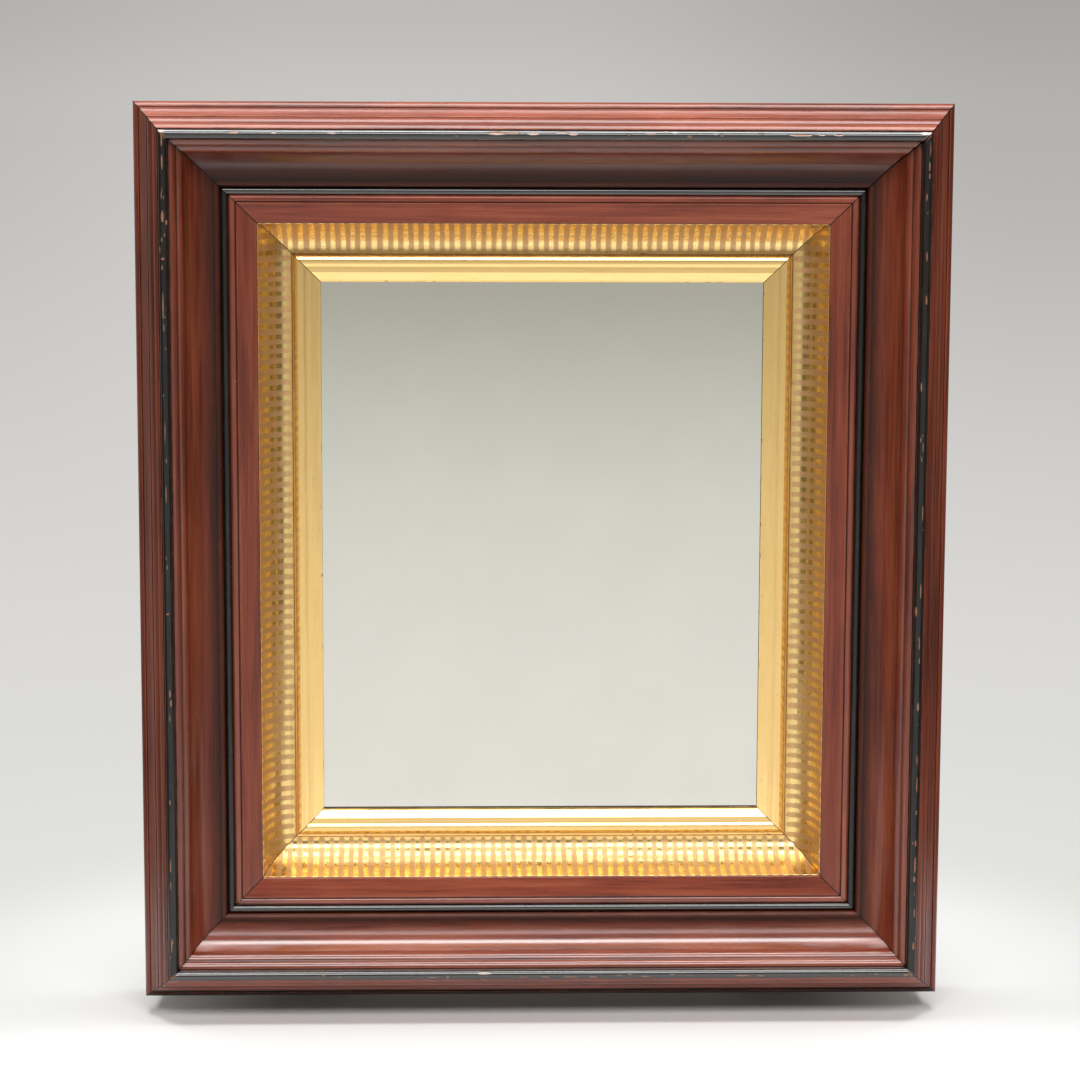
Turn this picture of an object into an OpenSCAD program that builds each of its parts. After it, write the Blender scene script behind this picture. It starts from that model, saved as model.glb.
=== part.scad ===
// Deep-well framed wall mirror: a walnut outer moulding with an ebonised bead, an inner
// walnut band with a thin ebonised bead, a striped gilt cove liner and a stepped gilt slip
// round a silvered plate, all carried on a pine box at the back.
//
// X runs along the wall, -Y is the front, +Z is up and the wall plane is Y = 0.
// A section is drawn as (u, z): u is the distance in from the frame's outer edge, and z is
// the depth behind the top of the large bead.

/* [Mirror plate] */
// Width of the glass plate
glass_w = 254; // [200:1:400]
// Height of the glass plate
glass_h = 304.8; // [240:0.1:500]
// Thickness of the glass plate
glass_t = 2.4; // [2:0.1:4]
// Thickness of the silvering and its paint
silver_t = 0.2; // [0.1:0.05:0.4]
// How far the slip laps over the plate on each side
sight_lap = 6.3; // [5:0.1:8]
// Gap between the plate's edge and its rebate
glass_play = 0.8; // [0.3:0.1:1.5]

/* [Outer moulding] */
// Width of the reeded slope outside the large bead
slope_w = 14.3; // [12:0.1:20]
// How far the outer edge lies behind the top of the large bead
edge_drop = 25; // [20:0.5:30]
// Thickness of the moulding's outer edge
edge_t = 9; // [7:0.5:14]
// Width of the half-round edge reed
edge_reed_w = 2.8; // [2:0.1:3.5]
// Width of the quirk beside the edge reed
edge_quirk_w = 1.3; // [0.8:0.1:1.6]
// Width of the lowest band of the slope
slope_band_w = 3.8; // [2.5:0.1:4.5]
// Rise of each slope reed above the slope
slope_reed_rise = 0.9; // [0.4:0.1:1.2]
// Drop from the top of the large bead to its outer foot
foot_out = 4.4; // [3.4:0.1:5.5]
// Drop from the top of the large bead to its inner foot
foot_in = 6.3; // [4:0.1:7]
// Width of the reed inside the large bead
reed_w = 3.6; // [2.5:0.1:5]
// Drop across that reed
reed_drop = 3.6; // [2.5:0.1:5]
// Width of the second reed
fillet_w = 3.3; // [2.5:0.1:5]
// Drop across the second reed
fillet_drop = 4.8; // [3:0.1:6]
// Rise of the two inner reeds above their chords
reed_rise = 1.1; // [0.5:0.1:1.5]
// Width of the walnut cove
cove_w = 15; // [11:0.5:20]
// Drop across the walnut cove
cove_drop = 13.9; // [10:0.1:15]
// Depth of the walnut cove below its chord
cove_hollow = 3.4; // [2:0.1:4]
// Width of the ridge inside the cove
ridge_w = 2.9; // [2:0.1:4]
// Drop across that ridge
ridge_drop = 1; // [0.5:0.1:1.5]

/* [Beads] */
// Width of the large ebonised bead
bead_w = 5.6; // [4.4:0.1:6.6]
// Height of the large bead's strip, from its top to its seat
bead_h = 8.6; // [7.6:0.1:10]
// Width of the thin ebonised bead
thin_bead_w = 3.9; // [3:0.1:5]
// Drop from the top of the large bead to the top of the thin one
thin_bead_drop = 29.2; // [28:0.1:31]
// Quirk between the outer moulding and the thin bead
quirk_w = 0.35; // [0.2:0.05:0.6]
// Side clearance of each bead in its seat
seat_gap = 0.05; // [0.03:0.01:0.1]

/* [Inner moulding] */
// Width of the small reed beside the thin bead
small_reed_w = 3.5; // [2.5:0.1:5]
// Width of the quirk beside that reed
small_quirk_w = 0.7; // [0.4:0.1:1]
// Width of the flat band
flat_w = 10.8; // [8:0.1:16]
// Drop from the top of the large bead to the flat band's outer arris
flat_drop = 30.1; // [29.5:0.1:31]
// Fall across the flat band
flat_fall = 2.2; // [0:0.1:3]
// Thickness of the lip that laps the liner
liner_lip_t = 3.9; // [3:0.1:5]
// Reach of that lip over the liner
liner_lip_w = 5.5; // [4:0.1:7]
// Thickness of the inner moulding's board under the outer moulding
inner_board_t = 12; // [9:0.5:16]

/* [Gilt liner] */
// Width of the small flat at the liner's outer edge
liner_flat_w = 0.9; // [0.5:0.1:1.5]
// Step from the flat band down to the liner
liner_step = 0.7; // [0.3:0.1:1]
// Width of the gilt cove
liner_cove_w = 16.1; // [12:0.1:20]
// Drop across the gilt cove
liner_cove_drop = 24.9; // [20:0.1:27]
// Fullness of the gilt cove, 2 for an ellipse
liner_fullness = 2.3; // [2:0.1:2.6]
// Thickness of the cove's inner lip, over the slip
liner_toe_t = 2.1; // [1.6:0.1:3]
// Reach of the cove's inner lip over the slip
liner_toe_w = 5.2; // [4:0.1:6]
// Height of the liner's body behind the slip's shoulder
liner_heel_t = 6; // [5.6:0.1:7]
// Clearance round the liner and the slip
liner_gap = 0.1; // [0.05:0.01:0.2]

/* [Gilt slip] */
// Width of the crease between cove and slip
crease_w = 1.0; // [0.6:0.1:1.6]
// Width of the slip's outer ridge
slip_ridge_w = 5.8; // [4:0.1:8]
// Rise of the slip's outer ridge
slip_ridge_rise = 1.4; // [0.6:0.1:1.8]
// Width of the slip's second ridge
slip_band_w = 5.1; // [4:0.1:7]
// Rise of the slip's second ridge
slip_band_rise = 0.9; // [0.4:0.1:1.2]
// Width of the slip's last step
slip_step_w = 3.6; // [2.5:0.1:5]
// Fall of the slip's last step
slip_step_fall = 1; // [0.4:0.1:1.4]
// Thickness of the slip at the sight edge
sight_t = 1.2; // [0.8:0.1:2]

/* [Back] */
// Thickness of the pine box boards
box_t = 20; // [16:0.5:22]
// How far the box stands in from the moulding's outer edge
box_inset = 3; // [2:0.5:6]
// Depth of the box boards
box_depth = 40; // [38:1:50]
// Thickness of the back boards
back_t = 5; // [4:0.5:7]
// How far the back boards lap the liner
back_lap = 27; // [26:0.5:29]
// Gap between neighbouring back boards
back_gap = 0.6; // [0.3:0.1:1.5]
// Clearance between butted boards
board_gap = 0.05; // [0.02:0.01:0.1]
// Gap left open in each mitre
mitre_gap = 0.12; // [0.05:0.01:0.3]
// Side of the glue blocks
block_s = 14; // [10:1:18]
// Length of the glue blocks
block_l = 50; // [30:5:70]
// Length of the blocks that hold the plate
glazing_l = 30; // [20:5:40]
// Width of the blocks that hold the plate
glazing_w = 6; // [5:0.1:7]
// Length of a corner spline's side
spline_s = 26; // [20:1:30]
// Thickness of a corner spline
spline_t = 3; // [2:0.5:4]

/* [Hangers] */
// Height of the ring's pivot above the middle of the frame
hanger_z = 112; // [60:1:130]
// Distance of the hangers' middle line from the wall plane
hanger_y = 15; // [14:0.5:18]
// Width of the brass strap
strap_w = 11; // [9:0.5:13]
// Thickness of the brass strap
strap_t = 1.2; // [1:0.1:1.6]
// Length of the strap below the ring's pivot
strap_l = 42; // [38:1:60]
// Radius of the ring's wire
wire_r = 1.5; // [1.2:0.1:1.8]
// Running clearance of the ring in its knuckle
knuckle_gap = 0.05; // [0.03:0.01:0.08]
// Wall of the rolled knuckle
knuckle_wall = 1.2; // [1:0.1:1.6]
// Side clearance between the knuckle and the ring's legs
knuckle_play = 0.5; // [0.3:0.1:1]
// Length of the ring's straight legs
ring_leg = 9; // [7:0.5:12]
// Radius of a hanger screw's shank
screw_r = 1.4; // [1.2:0.1:1.8]
// Length of a hanger screw
screw_l = 13; // [10:0.5:14]

/* [Nails] */
// Radius of a nail's shank
nail_r = 0.8; // [0.6:0.05:1]
// Radius of a nail's head
nail_head_r = 1.7; // [1.4:0.1:2.2]
// Thickness of a nail's head
nail_head_t = 0.8; // [0.6:0.1:1.2]
// Length of a box nail
box_nail_l = 42; // [34:1:50]
// Length of a back board nail
back_nail_l = 14; // [11:0.5:16]

/* [Hidden] */
$fn = 48;

// Distances in from the outer edge
u_bead0 = slope_w;
u_bead1 = u_bead0 + bead_w;
u_reed = u_bead1 + reed_w;
u_fillet = u_reed + fillet_w;
u_cove = u_fillet + cove_w;
u_outer = u_cove + ridge_w;
u_thin0 = u_outer + quirk_w;
u_thin1 = u_thin0 + thin_bead_w;
u_shoulder = u_thin1 + seat_gap;
u_sreed = u_shoulder + small_reed_w;
u_flat0 = u_sreed + small_quirk_w;
u_flat1 = u_flat0 + flat_w;
u_liner0 = u_flat1 + liner_gap;
u_liner1 = u_liner0 + liner_flat_w;
u_crease = u_liner1 + liner_cove_w;
u_slip0 = u_crease + liner_gap;
u_slip1 = u_slip0 + crease_w;
u_slip2 = u_slip1 + slip_ridge_w;
u_slip3 = u_slip2 + slip_band_w;
u_sight = u_slip3 + slip_step_w;
u_box1 = box_inset + box_t;
u_lap = u_flat1 - liner_lip_w;
u_heel = u_lap + liner_gap;
u_toe = u_crease - liner_toe_w;
u_rebate = u_sight - sight_lap - glass_play;
u_back = u_rebate - back_lap;

// Depths behind the top of the large bead
z_reed = foot_in + reed_drop;
z_fillet = z_reed + fillet_drop;
z_cove = z_fillet + cove_drop;
z_ridge = z_cove + ridge_drop;
z_seat = edge_drop + edge_t;
z_flat1 = flat_drop + flat_fall;
z_lip = z_flat1 + liner_lip_t;
z_board = z_seat + inner_board_t;
z_liner = z_flat1 + liner_step;
z_crease = z_liner + liner_cove_drop;
z_toe = z_crease + liner_toe_t;
z_slip = z_crease + slip_step_fall * 0.3;
z_sight = z_slip + slip_step_fall;
z_glass = z_sight + sight_t;
z_silver = z_glass + glass_t;
z_paint = z_silver + silver_t;
z_heel = z_toe + liner_heel_t;
depth = z_seat + box_depth;

// Outer size of the frame
frame_w = glass_w - 2 * sight_lap + 2 * u_sight;
frame_h = glass_h - 2 * sight_lap + 2 * u_sight;
// Height of the frame's middle above the origin
mid_z = -(frame_h / 2 - box_inset - box_t / 2);
box_w = frame_w - 2 * box_inset;
box_h = frame_h - 2 * box_inset;

// Points on a circular arc from p to q that rises h to the right of the way p to q
function arc_pts(p, q, h, n = 8) =
    let (d = q - p, c = norm(d), s = abs(h), r = (c * c / 4 + s * s) / (2 * s),
         a = asin(min(1, c / 2 / r)), e = d / c, m = [e.y, -e.x] * sign(h))
    [for (i = [0:n]) let (t = -a + 2 * a * i / n)
        (p + q) / 2 + e * r * sin(t) + m * (r * cos(t) - r + s)];

// Points on a superelliptic hollow from its steep end p to its flat end q
function hollow_pts(p, q, e, n = 22) =
    [for (i = [0:n]) let (t = 90 * i / n)
        [q.x - (q.x - p.x) * pow(cos(t), 2 / e), p.y + (q.y - p.y) * pow(sin(t), 2 / e)]];

// Points without repeats closer than a hundredth of a millimetre
function clean_pts(v) = [for (i = [0:len(v) - 1]) if (norm(v[i] - v[(i + 1) % len(v)]) > 0.01) v[i]];

// Depth of the plain slope line at u
function slope_z(u) = edge_drop - (edge_drop - foot_out) * u / slope_w;
function on_slope(u) = [u, slope_z(u)];

u_er = edge_reed_w;
u_eq = u_er + edge_quirk_w;
u_sb = u_eq + slope_band_w;
u_sm = (u_sb + u_bead0) / 2;
quirk_d = 0.6;

outer_rail_pts = concat(
    arc_pts([0, edge_drop], on_slope(u_er), slope_reed_rise, 8),
    [on_slope(u_er) + [quirk_d, quirk_d], on_slope(u_eq) + [quirk_d, quirk_d] * 0.6],
    arc_pts(on_slope(u_eq), on_slope(u_sb), -0.5 * slope_reed_rise, 6),
    [on_slope(u_sb) + [0.2, 1] * quirk_d],
    arc_pts(on_slope(u_sb) + [0.3, 0], on_slope(u_sm), slope_reed_rise, 8),
    arc_pts(on_slope(u_sm) + [0.1, 0], on_slope(u_bead0) - [seat_gap, 0], slope_reed_rise, 8),
    [[u_bead0 - seat_gap, bead_h], [u_bead1 + seat_gap, bead_h]],
    arc_pts([u_bead1 + seat_gap, foot_in], [u_reed, z_reed], reed_rise, 8),
    arc_pts([u_reed + 0.1, z_reed + 0.2], [u_fillet, z_fillet - 0.5], reed_rise * 0.9, 8),
    arc_pts([u_fillet, z_fillet], [u_cove, z_cove], -cove_hollow, 20),
    arc_pts([u_cove + 0.05, z_cove - 0.3], [u_outer, z_ridge], 0.9, 8),
    [[u_outer, z_seat], [0, z_seat]]);

module rail(side, pts) {
    across = side == "left" || side == "right";
    run = across ? frame_h : frame_w;
    off = across ? frame_w / 2 : frame_h / 2;
    g = mitre_gap / 2 * sqrt(2);
    deep = u_sight + 2;
    turn = side == "top" ? [0, 180, 0] : side == "left" ? [0, 90, 0]
        : side == "right" ? [0, -90, 0] : [0, 0, 0];
    translate([0, 0, mid_z]) rotate(turn) translate([0, 0, -off])
    intersection() {
        translate([-run / 2, 0, 0]) rotate([90, 0, 90]) linear_extrude(run)
            polygon([for (p = clean_pts(pts)) [p.y - depth, p.x]]);
        translate([0, 1, 0]) rotate([90, 0, 0]) linear_extrude(depth + 2)
            polygon([[-run / 2 - 1 + g, -1], [run / 2 + 1 - g, -1],
                [run / 2 - deep - g, deep], [-run / 2 + deep + g, deep]]);
    }
}

function strip_pts(u0, u1, top, seat) =
    let (r = (u1 - u0) / 2, c = (u0 + u1) / 2)
    concat([for (i = [0:16]) let (t = 180 * i / 16) [c - r * cos(t), top + r - r * sin(t)]],
        [[u1, seat], [u0, seat]]);

inner_rail_pts = concat(
    [[u_box1 + board_gap, z_seat], [u_shoulder, z_seat]],
    arc_pts([u_shoulder, flat_drop + 1.2], [u_sreed, flat_drop + 0.5], 0.8, 8),
    [[u_sreed + small_quirk_w * 0.4, flat_drop + 1], [u_flat0, flat_drop + 0.3],
     [u_flat0 + 0.3, flat_drop], [u_flat1 - 0.3, z_flat1 - 0.05], [u_flat1, z_flat1 + 0.2],
     [u_flat1, z_lip], [u_lap, z_lip], [u_lap, z_board], [u_box1 + board_gap, z_board]]);

cove_pts = concat(
    [[u_liner0, z_liner + 0.25], [u_liner0 + 0.25, z_liner]],
    hollow_pts([u_liner1, z_liner + 0.15], [u_crease, z_crease], liner_fullness, 22),
    [[u_crease, z_toe], [u_toe, z_toe], [u_toe, z_heel], [u_heel, z_heel],
     [u_heel, z_lip + liner_gap], [u_liner0, z_lip + liner_gap]]);

slip_pts = [
    [u_toe + liner_gap, z_toe], [u_slip0, z_toe], [u_slip0, z_slip], [u_slip1, z_slip],
    [u_slip1 + slip_ridge_w * 0.42, z_slip - slip_ridge_rise * 0.94],
    [u_slip1 + slip_ridge_w * 0.5, z_slip - slip_ridge_rise],
    [u_slip1 + slip_ridge_w * 0.58, z_slip - slip_ridge_rise * 0.82],
    [u_slip2 - 0.1, z_slip - 0.1], [u_slip2, z_slip + 0.15], [u_slip2 + 0.2, z_slip + 0.1],
    [u_slip2 + slip_band_w * 0.48, z_slip - slip_band_rise],
    [u_slip3 - 0.05, z_slip - slip_band_rise * 0.35], [u_slip3, z_slip],
    [u_sight - 0.2, z_sight - 0.1], [u_sight, z_sight + 0.15],
    [u_sight, z_glass], [u_rebate, z_glass], [u_rebate, z_heel], [u_toe + liner_gap, z_heel]];

walnut = [0.42, 0.2, 0.14];
ebony = [0.13, 0.11, 0.1];
gilt = [0.86, 0.68, 0.36];
pine = [0.72, 0.58, 0.4];
brass = [0.72, 0.57, 0.3];

module outer_rail(side) { color(walnut) rail(side, outer_rail_pts); }
module outer_bead(side) { color(ebony) rail(side, strip_pts(u_bead0, u_bead1, 0, bead_h)); }
module inner_rail(side) {
    color(walnut) difference() {
        rail(side, inner_rail_pts);
        for (c = corners) spline_at(c, board_gap);
    }
}
module inner_bead(side) {
    color(ebony) rail(side, strip_pts(u_thin0, u_thin1, thin_bead_drop, z_seat));
}
module gilt_cove(side) {
    color(gilt) difference() {
        rail(side, cove_pts);
        back_nail_set(nail_r + 0.02);
    }
}
module gilt_slip(side) { color(gilt) rail(side, slip_pts); }

// Corners of the frame as signs of x and z
corners = [[-1, -1], [1, -1], [1, 1], [-1, 1]];

// A box from corner a to corner b in frame coordinates about its middle
module span(a, b) { translate([0, 0, mid_z]) translate(a) cube(b - a); }

module plate(z0, z1) {
    span([-glass_w / 2, z0 - depth, -glass_h / 2], [glass_w / 2, z1 - depth, glass_h / 2]);
}
module mirror_glass() { color([0.78, 0.86, 0.84, 0.4]) plate(z_glass, z_silver); }
module silvering() { color([0.8, 0.82, 0.82]) plate(z_silver, z_paint); }

// Half size of the plate's rebate
reb_w = frame_w / 2 - u_rebate;
reb_h = frame_h / 2 - u_rebate;

module glazing_blocks() {
    color(pine)
    for (s = [-1, 1]) {
        for (k = [-1, 1]) translate([k * glass_w / 4, 0, s * (reb_h - glazing_w / 2)])
            glazing_block(glazing_l, glazing_w);
        for (k = [-1, 1]) translate([s * (reb_w - glazing_w / 2), 0, k * glass_h / 4])
            glazing_block(glazing_w, glazing_l);
    }
}
module glazing_block(a, b) {
    translate([-a / 2, z_paint - depth, mid_z - b / 2]) cube([a, z_heel - z_paint, b]);
}

// A square spline set in the inner moulding's corner c, across the mitre
module spline_at(c, gap = 0) {
    m = (u_box1 + u_lap) / 2;
    y = (z_seat + z_board) / 2 - depth;
    translate([c.x * (frame_w / 2 - m), y, mid_z + c.y * (frame_h / 2 - m)])
        cube([spline_s + 2 * gap, spline_t + 2 * gap, spline_s + 2 * gap], center = true);
}
module corner_splines() { color(pine) for (c = corners) spline_at(c); }

module box_board(side) {
    z0 = z_seat - depth;
    w = box_w / 2;
    h = box_h / 2;
    color(pine) difference() {
        if (side == "left") span([-w, z0, -h], [-w + box_t, 0, h]);
        else if (side == "right") span([w - box_t, z0, -h], [w, 0, h]);
        else if (side == "top")
            span([-w + box_t + board_gap, z0, h - box_t], [w - box_t - board_gap, 0, h]);
        else span([-w + box_t + board_gap, z0, -h], [w - box_t - board_gap, 0, -h + box_t]);
        box_nail_set(0.02);
        hanger_screw_set(0.02);
    }
}

// A headed nail along +Z from its head's face at the origin, grown by g all round
module nail(length, g = 0) {
    translate([0, 0, -length - g]) cylinder(r = nail_r + g, h = length + g);
    translate([0, 0, -nail_head_t - g]) cylinder(r = nail_head_r + g, h = nail_head_t + 2 * g);
}
module box_nail_set(g = 0) {
    for (c = corners) for (k = [0.25, 0.75])
        translate([c.x * box_w / 2, -box_depth * k, mid_z + c.y * (box_h - box_t) / 2])
            rotate([0, 90 * c.x, 0]) nail(box_nail_l, g);
}
module box_nails() { color([0.4, 0.37, 0.34]) box_nail_set(); }

// Right-angled glue block of length l, its right angle on the Z axis
module glue_block(l, s) {
    linear_extrude(l) polygon([[0, 0], [s, 0], [s, s * 0.3], [s * 0.3, s], [0, s]]);
}
// Blocks standing in the box's four corners, behind the inner moulding
module corner_blocks() {
    x = box_w / 2 - box_t;
    z = box_h / 2 - box_t;
    color(pine) for (c = corners) translate([0, 0, mid_z])
        mirror([c.x > 0 ? 1 : 0, 0, 0]) mirror([0, 0, c.y > 0 ? 1 : 0])
        translate([-x + board_gap, 0, -z + board_gap])
        rotate([90, 0, 0]) mirror([0, 0, 1])
        translate([0, 0, z_board - depth]) glue_block(box_depth - inner_board_t - 4, block_s * 1.6);
}
// Top of the side blocks, below the hangers' straps
block_top = hanger_z - strap_l - 12;

// Blocks rubbed into the angle between the box boards and the inner moulding
module rail_blocks() {
    y = z_board - depth;
    color(pine) translate([0, 0, mid_z]) {
        for (s = [-1, 1]) for (k = [-1, 1]) {
            translate([k * box_w * 0.2 - block_l / 2, y, s * (box_h / 2 - box_t - board_gap)])
                mirror([0, 0, s > 0 ? 1 : 0]) rotate([90, 0, 90]) glue_block(block_l, block_s);
            translate([s * (box_w / 2 - box_t - board_gap), y,
                k > 0 ? block_top - block_l : -hanger_z - block_l / 2])
                mirror([s > 0 ? 1 : 0, 0, 0]) glue_block(block_l, block_s);
        }
    }
}
// Blocks rubbed into the angle between the liner and the inner moulding
module liner_blocks() {
    x = frame_w / 2 - u_heel;
    z = frame_h / 2 - u_heel;
    y = z_board - depth;
    s2 = block_s * 0.8;
    color(pine) translate([0, 0, mid_z]) {
        for (s = [-1, 1]) {
            translate([-block_l / 2, y, s * z])
                mirror([0, 0, s < 0 ? 1 : 0]) rotate([90, 0, 90]) glue_block(block_l, s2);
            translate([s * x, y, -block_l / 2])
                mirror([s < 0 ? 1 : 0, 0, 0]) glue_block(block_l, s2);
        }
    }
}

back_w = frame_w - 2 * u_back;
back_h = frame_h - 2 * u_back;
back_course = (back_h - 2 * back_gap) / 3;
back_y = z_heel + back_t - depth;

module back_board(k) {
    z0 = -back_h / 2 + k * (back_course + back_gap);
    color(pine) difference() {
        span([-back_w / 2, z_heel - depth, z0], [back_w / 2, back_y, z0 + back_course]);
        back_nail_set(nail_r + 0.02);
    }
}
// Nails through the back boards into the liner, or their holes when r is given
module back_nail_set(r = 0) {
    inset = (u_toe + u_heel) / 2 - u_back;
    x = back_w / 2 - inset;
    z = back_h / 2 - inset;
    translate([0, back_y, mid_z]) rotate([-90, 0, 0]) {
        for (s = [-1, 1]) {
            for (k = [-1, -0.34, 0.34, 1]) translate([k * x * 0.93, s * z, 0]) back_nail(r);
            for (k = [-1, 0, 1]) for (j = [-0.3, 0.3])
                translate([s * x, (k + j) * (back_course + back_gap) * (k == 0 ? 1 : 0.9), 0])
                back_nail(r);
        }
    }
}
module back_nail(r) {
    if (r > 0) translate([0, 0, -back_nail_l - 0.02]) cylinder(r = r, h = back_nail_l + 1);
    else {
        translate([0, 0, -back_nail_l]) cylinder(r = nail_r, h = back_nail_l + 0.1);
        cylinder(r = nail_head_r, h = nail_head_t);
    }
}
module back_nails() { color([0.4, 0.37, 0.34]) back_nail_set(); }

knuckle_r = wire_r + knuckle_gap + knuckle_wall;
ring_r = strap_w / 2 + knuckle_play + wire_r;
screw_drops = [ring_leg + ring_r + wire_r + 5, strap_l - 5];
screw_head_r = 2.9;
screw_head_t = 1.7;

// Places its children at the hanger's pivot, with +X away from the box board
module hanger(side) {
    s = side == "left" ? 1 : -1;
    translate([-s * (box_w / 2 - box_t), -hanger_y, mid_z + hanger_z])
        mirror([s < 0 ? 1 : 0, 0, 0]) children();
}
module hanger_strap(side) {
    color(brass) hanger(side) difference() {
        union() {
            translate([0, -strap_w / 2, -strap_l]) cube([strap_t, strap_w, strap_l]);
            translate([knuckle_r, 0, 0]) rotate([90, 0, 0])
                cylinder(r = knuckle_r, h = strap_w, center = true);
        }
        translate([knuckle_r, 0, 0]) rotate([90, 0, 0])
            cylinder(r = wire_r + knuckle_gap, h = strap_w + 2, center = true);
        for (d = screw_drops) translate([-1, 0, -d]) rotate([0, 90, 0])
            cylinder(r = screw_r + 0.1, h = strap_t + 2);
    }
}
module hanger_ring(side) {
    color(brass) hanger(side) translate([knuckle_r, 0, 0]) {
        rotate([90, 0, 0]) cylinder(r = wire_r, h = 2 * ring_r, center = true);
        for (s = [-1, 1]) {
            translate([0, s * ring_r, 0]) sphere(r = wire_r);
            translate([0, s * ring_r, -ring_leg]) cylinder(r = wire_r, h = ring_leg);
        }
        translate([0, 0, -ring_leg]) rotate([180, 90, 0]) rotate([0, 0, -90])
            rotate_extrude(angle = 180) translate([ring_r, 0]) circle(r = wire_r);
    }
}
module hanger_screw_set(g = 0) {
    for (side = ["left", "right"]) hanger(side) for (d = screw_drops)
        translate([strap_t, 0, -d]) rotate([0, 90, 0]) {
            translate([0, 0, -screw_l - g]) cylinder(r = screw_r + g, h = screw_l + g + 0.1);
            if (g == 0) intersection() {
                cylinder(r = screw_head_r, h = screw_head_t);
                translate([0, 0, screw_head_t - 3.6]) sphere(r = 3.6);
            }
        }
}
module hanger_screws() { color(brass) hanger_screw_set(); }

outer_rail("top");  // outer_rail_top
outer_rail("bottom");  // outer_rail_bottom
outer_rail("left");  // outer_rail_left
outer_rail("right");  // outer_rail_right
outer_bead("top");  // outer_bead_top
outer_bead("bottom");  // outer_bead_bottom
outer_bead("left");  // outer_bead_left
outer_bead("right");  // outer_bead_right
inner_rail("top");  // inner_rail_top
inner_rail("bottom");  // inner_rail_bottom
inner_rail("left");  // inner_rail_left
inner_rail("right");  // inner_rail_right
inner_bead("top");  // inner_bead_top
inner_bead("bottom");  // inner_bead_bottom
inner_bead("left");  // inner_bead_left
inner_bead("right");  // inner_bead_right
gilt_cove("top");  // gilt_cove_top
gilt_cove("bottom");  // gilt_cove_bottom
gilt_cove("left");  // gilt_cove_left
gilt_cove("right");  // gilt_cove_right
gilt_slip("top");  // gilt_slip_top
gilt_slip("bottom");  // gilt_slip_bottom
gilt_slip("left");  // gilt_slip_left
gilt_slip("right");  // gilt_slip_right
mirror_glass();
silvering();
glazing_blocks();
box_board("top");  // box_board_top
box_board("bottom");  // box_board_bottom
box_board("left");  // box_board_left
box_board("right");  // box_board_right
corner_splines();
corner_blocks();
rail_blocks();
liner_blocks();
back_board(2);  // back_board_top
back_board(1);  // back_board_middle
back_board(0);  // back_board_bottom
back_nails();
box_nails();
hanger_strap("left");  // hanger_strap_left
hanger_strap("right");  // hanger_strap_right
hanger_screws();
hanger_ring("left");  // hanger_ring_left
hanger_ring("right");  // hanger_ring_right
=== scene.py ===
"""A deep-well wall mirror in walnut, ebonised beads and striped gilding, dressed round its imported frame.

Sections are drawn in millimetres as (u, z): u runs in from the frame's outer edge and z runs back
from the top of the large bead. Everything else is in metres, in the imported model's own frame.
"""

import logging
import math
import random
from dataclasses import dataclass, field
from enum import Enum
from functools import partialmethod

import bmesh
import bpy
import numpy as np
from mathutils import Matrix, Vector, noise


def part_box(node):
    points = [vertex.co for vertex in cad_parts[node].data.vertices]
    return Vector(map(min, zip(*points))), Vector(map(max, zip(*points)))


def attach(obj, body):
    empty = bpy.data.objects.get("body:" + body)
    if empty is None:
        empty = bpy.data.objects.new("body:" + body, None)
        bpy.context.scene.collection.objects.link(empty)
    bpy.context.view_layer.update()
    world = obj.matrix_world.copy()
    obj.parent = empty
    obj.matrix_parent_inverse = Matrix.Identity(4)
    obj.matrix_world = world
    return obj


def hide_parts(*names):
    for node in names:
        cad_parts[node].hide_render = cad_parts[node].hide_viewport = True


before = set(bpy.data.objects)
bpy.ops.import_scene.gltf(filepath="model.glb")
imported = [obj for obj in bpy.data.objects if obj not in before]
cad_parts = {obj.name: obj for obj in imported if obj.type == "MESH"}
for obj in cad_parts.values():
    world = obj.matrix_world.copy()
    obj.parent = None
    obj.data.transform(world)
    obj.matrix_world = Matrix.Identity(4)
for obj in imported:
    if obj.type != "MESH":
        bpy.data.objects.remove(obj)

MM = 0.001
Point = tuple[float, float]
Triple = tuple[float, float, float]
log = logging.getLogger("mirror")

# Millimetres that a corner's wear with painted glint and its dirt reach, and how sharp it has to be to start
# and to be full
CORNER_REACH = 0.32
RUB_FROM, RUB_SPAN = 0.9, 2.2
DIRT_FROM, DIRT_SPAN = 0.5, 2.0
# Degrees that a corner has to turn before it is eased
LEAST_TURN = 18
# Metres within which two packed vertices are one
SAME_SPOT = 0.000005
# Waves in a metre of a sawn face, and how much each kind counts
SAW_WAVES = ((60, 0.6), (260, 0.4))


class Side(Enum):
    """The four rails, each as (direction along it, direction in towards the glass)."""

    TOP = ((1, 0, 0), (0, 0, -1))
    BOTTOM = ((1, 0, 0), (0, 0, 1))
    LEFT = ((0, 0, 1), (1, 0, 0))
    RIGHT = ((0, 0, 1), (-1, 0, 0))

    @property
    def label(self) -> str:
        """The side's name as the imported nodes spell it."""
        return self.name.lower()

    @property
    def upright(self) -> bool:
        """True for the two rails that stand."""
        return self in (Side.LEFT, Side.RIGHT)

    @property
    def seed(self) -> int:
        """A number of its own for each rail's figure and wear."""
        return list(Side).index(self) + 1


class Grain(Enum):
    """Where a wood finish reads its grain from, and which way the fibres run."""

    RAIL = "rail"
    ACROSS = "x"
    DEEP = "y"
    UP = "z"


@dataclass(frozen=True)
class Band:
    """How far a rail's piece reaches in from the edge and back from the bead's top, in millimetres."""

    u0: float
    u1: float
    z0: float
    z1: float


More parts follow.
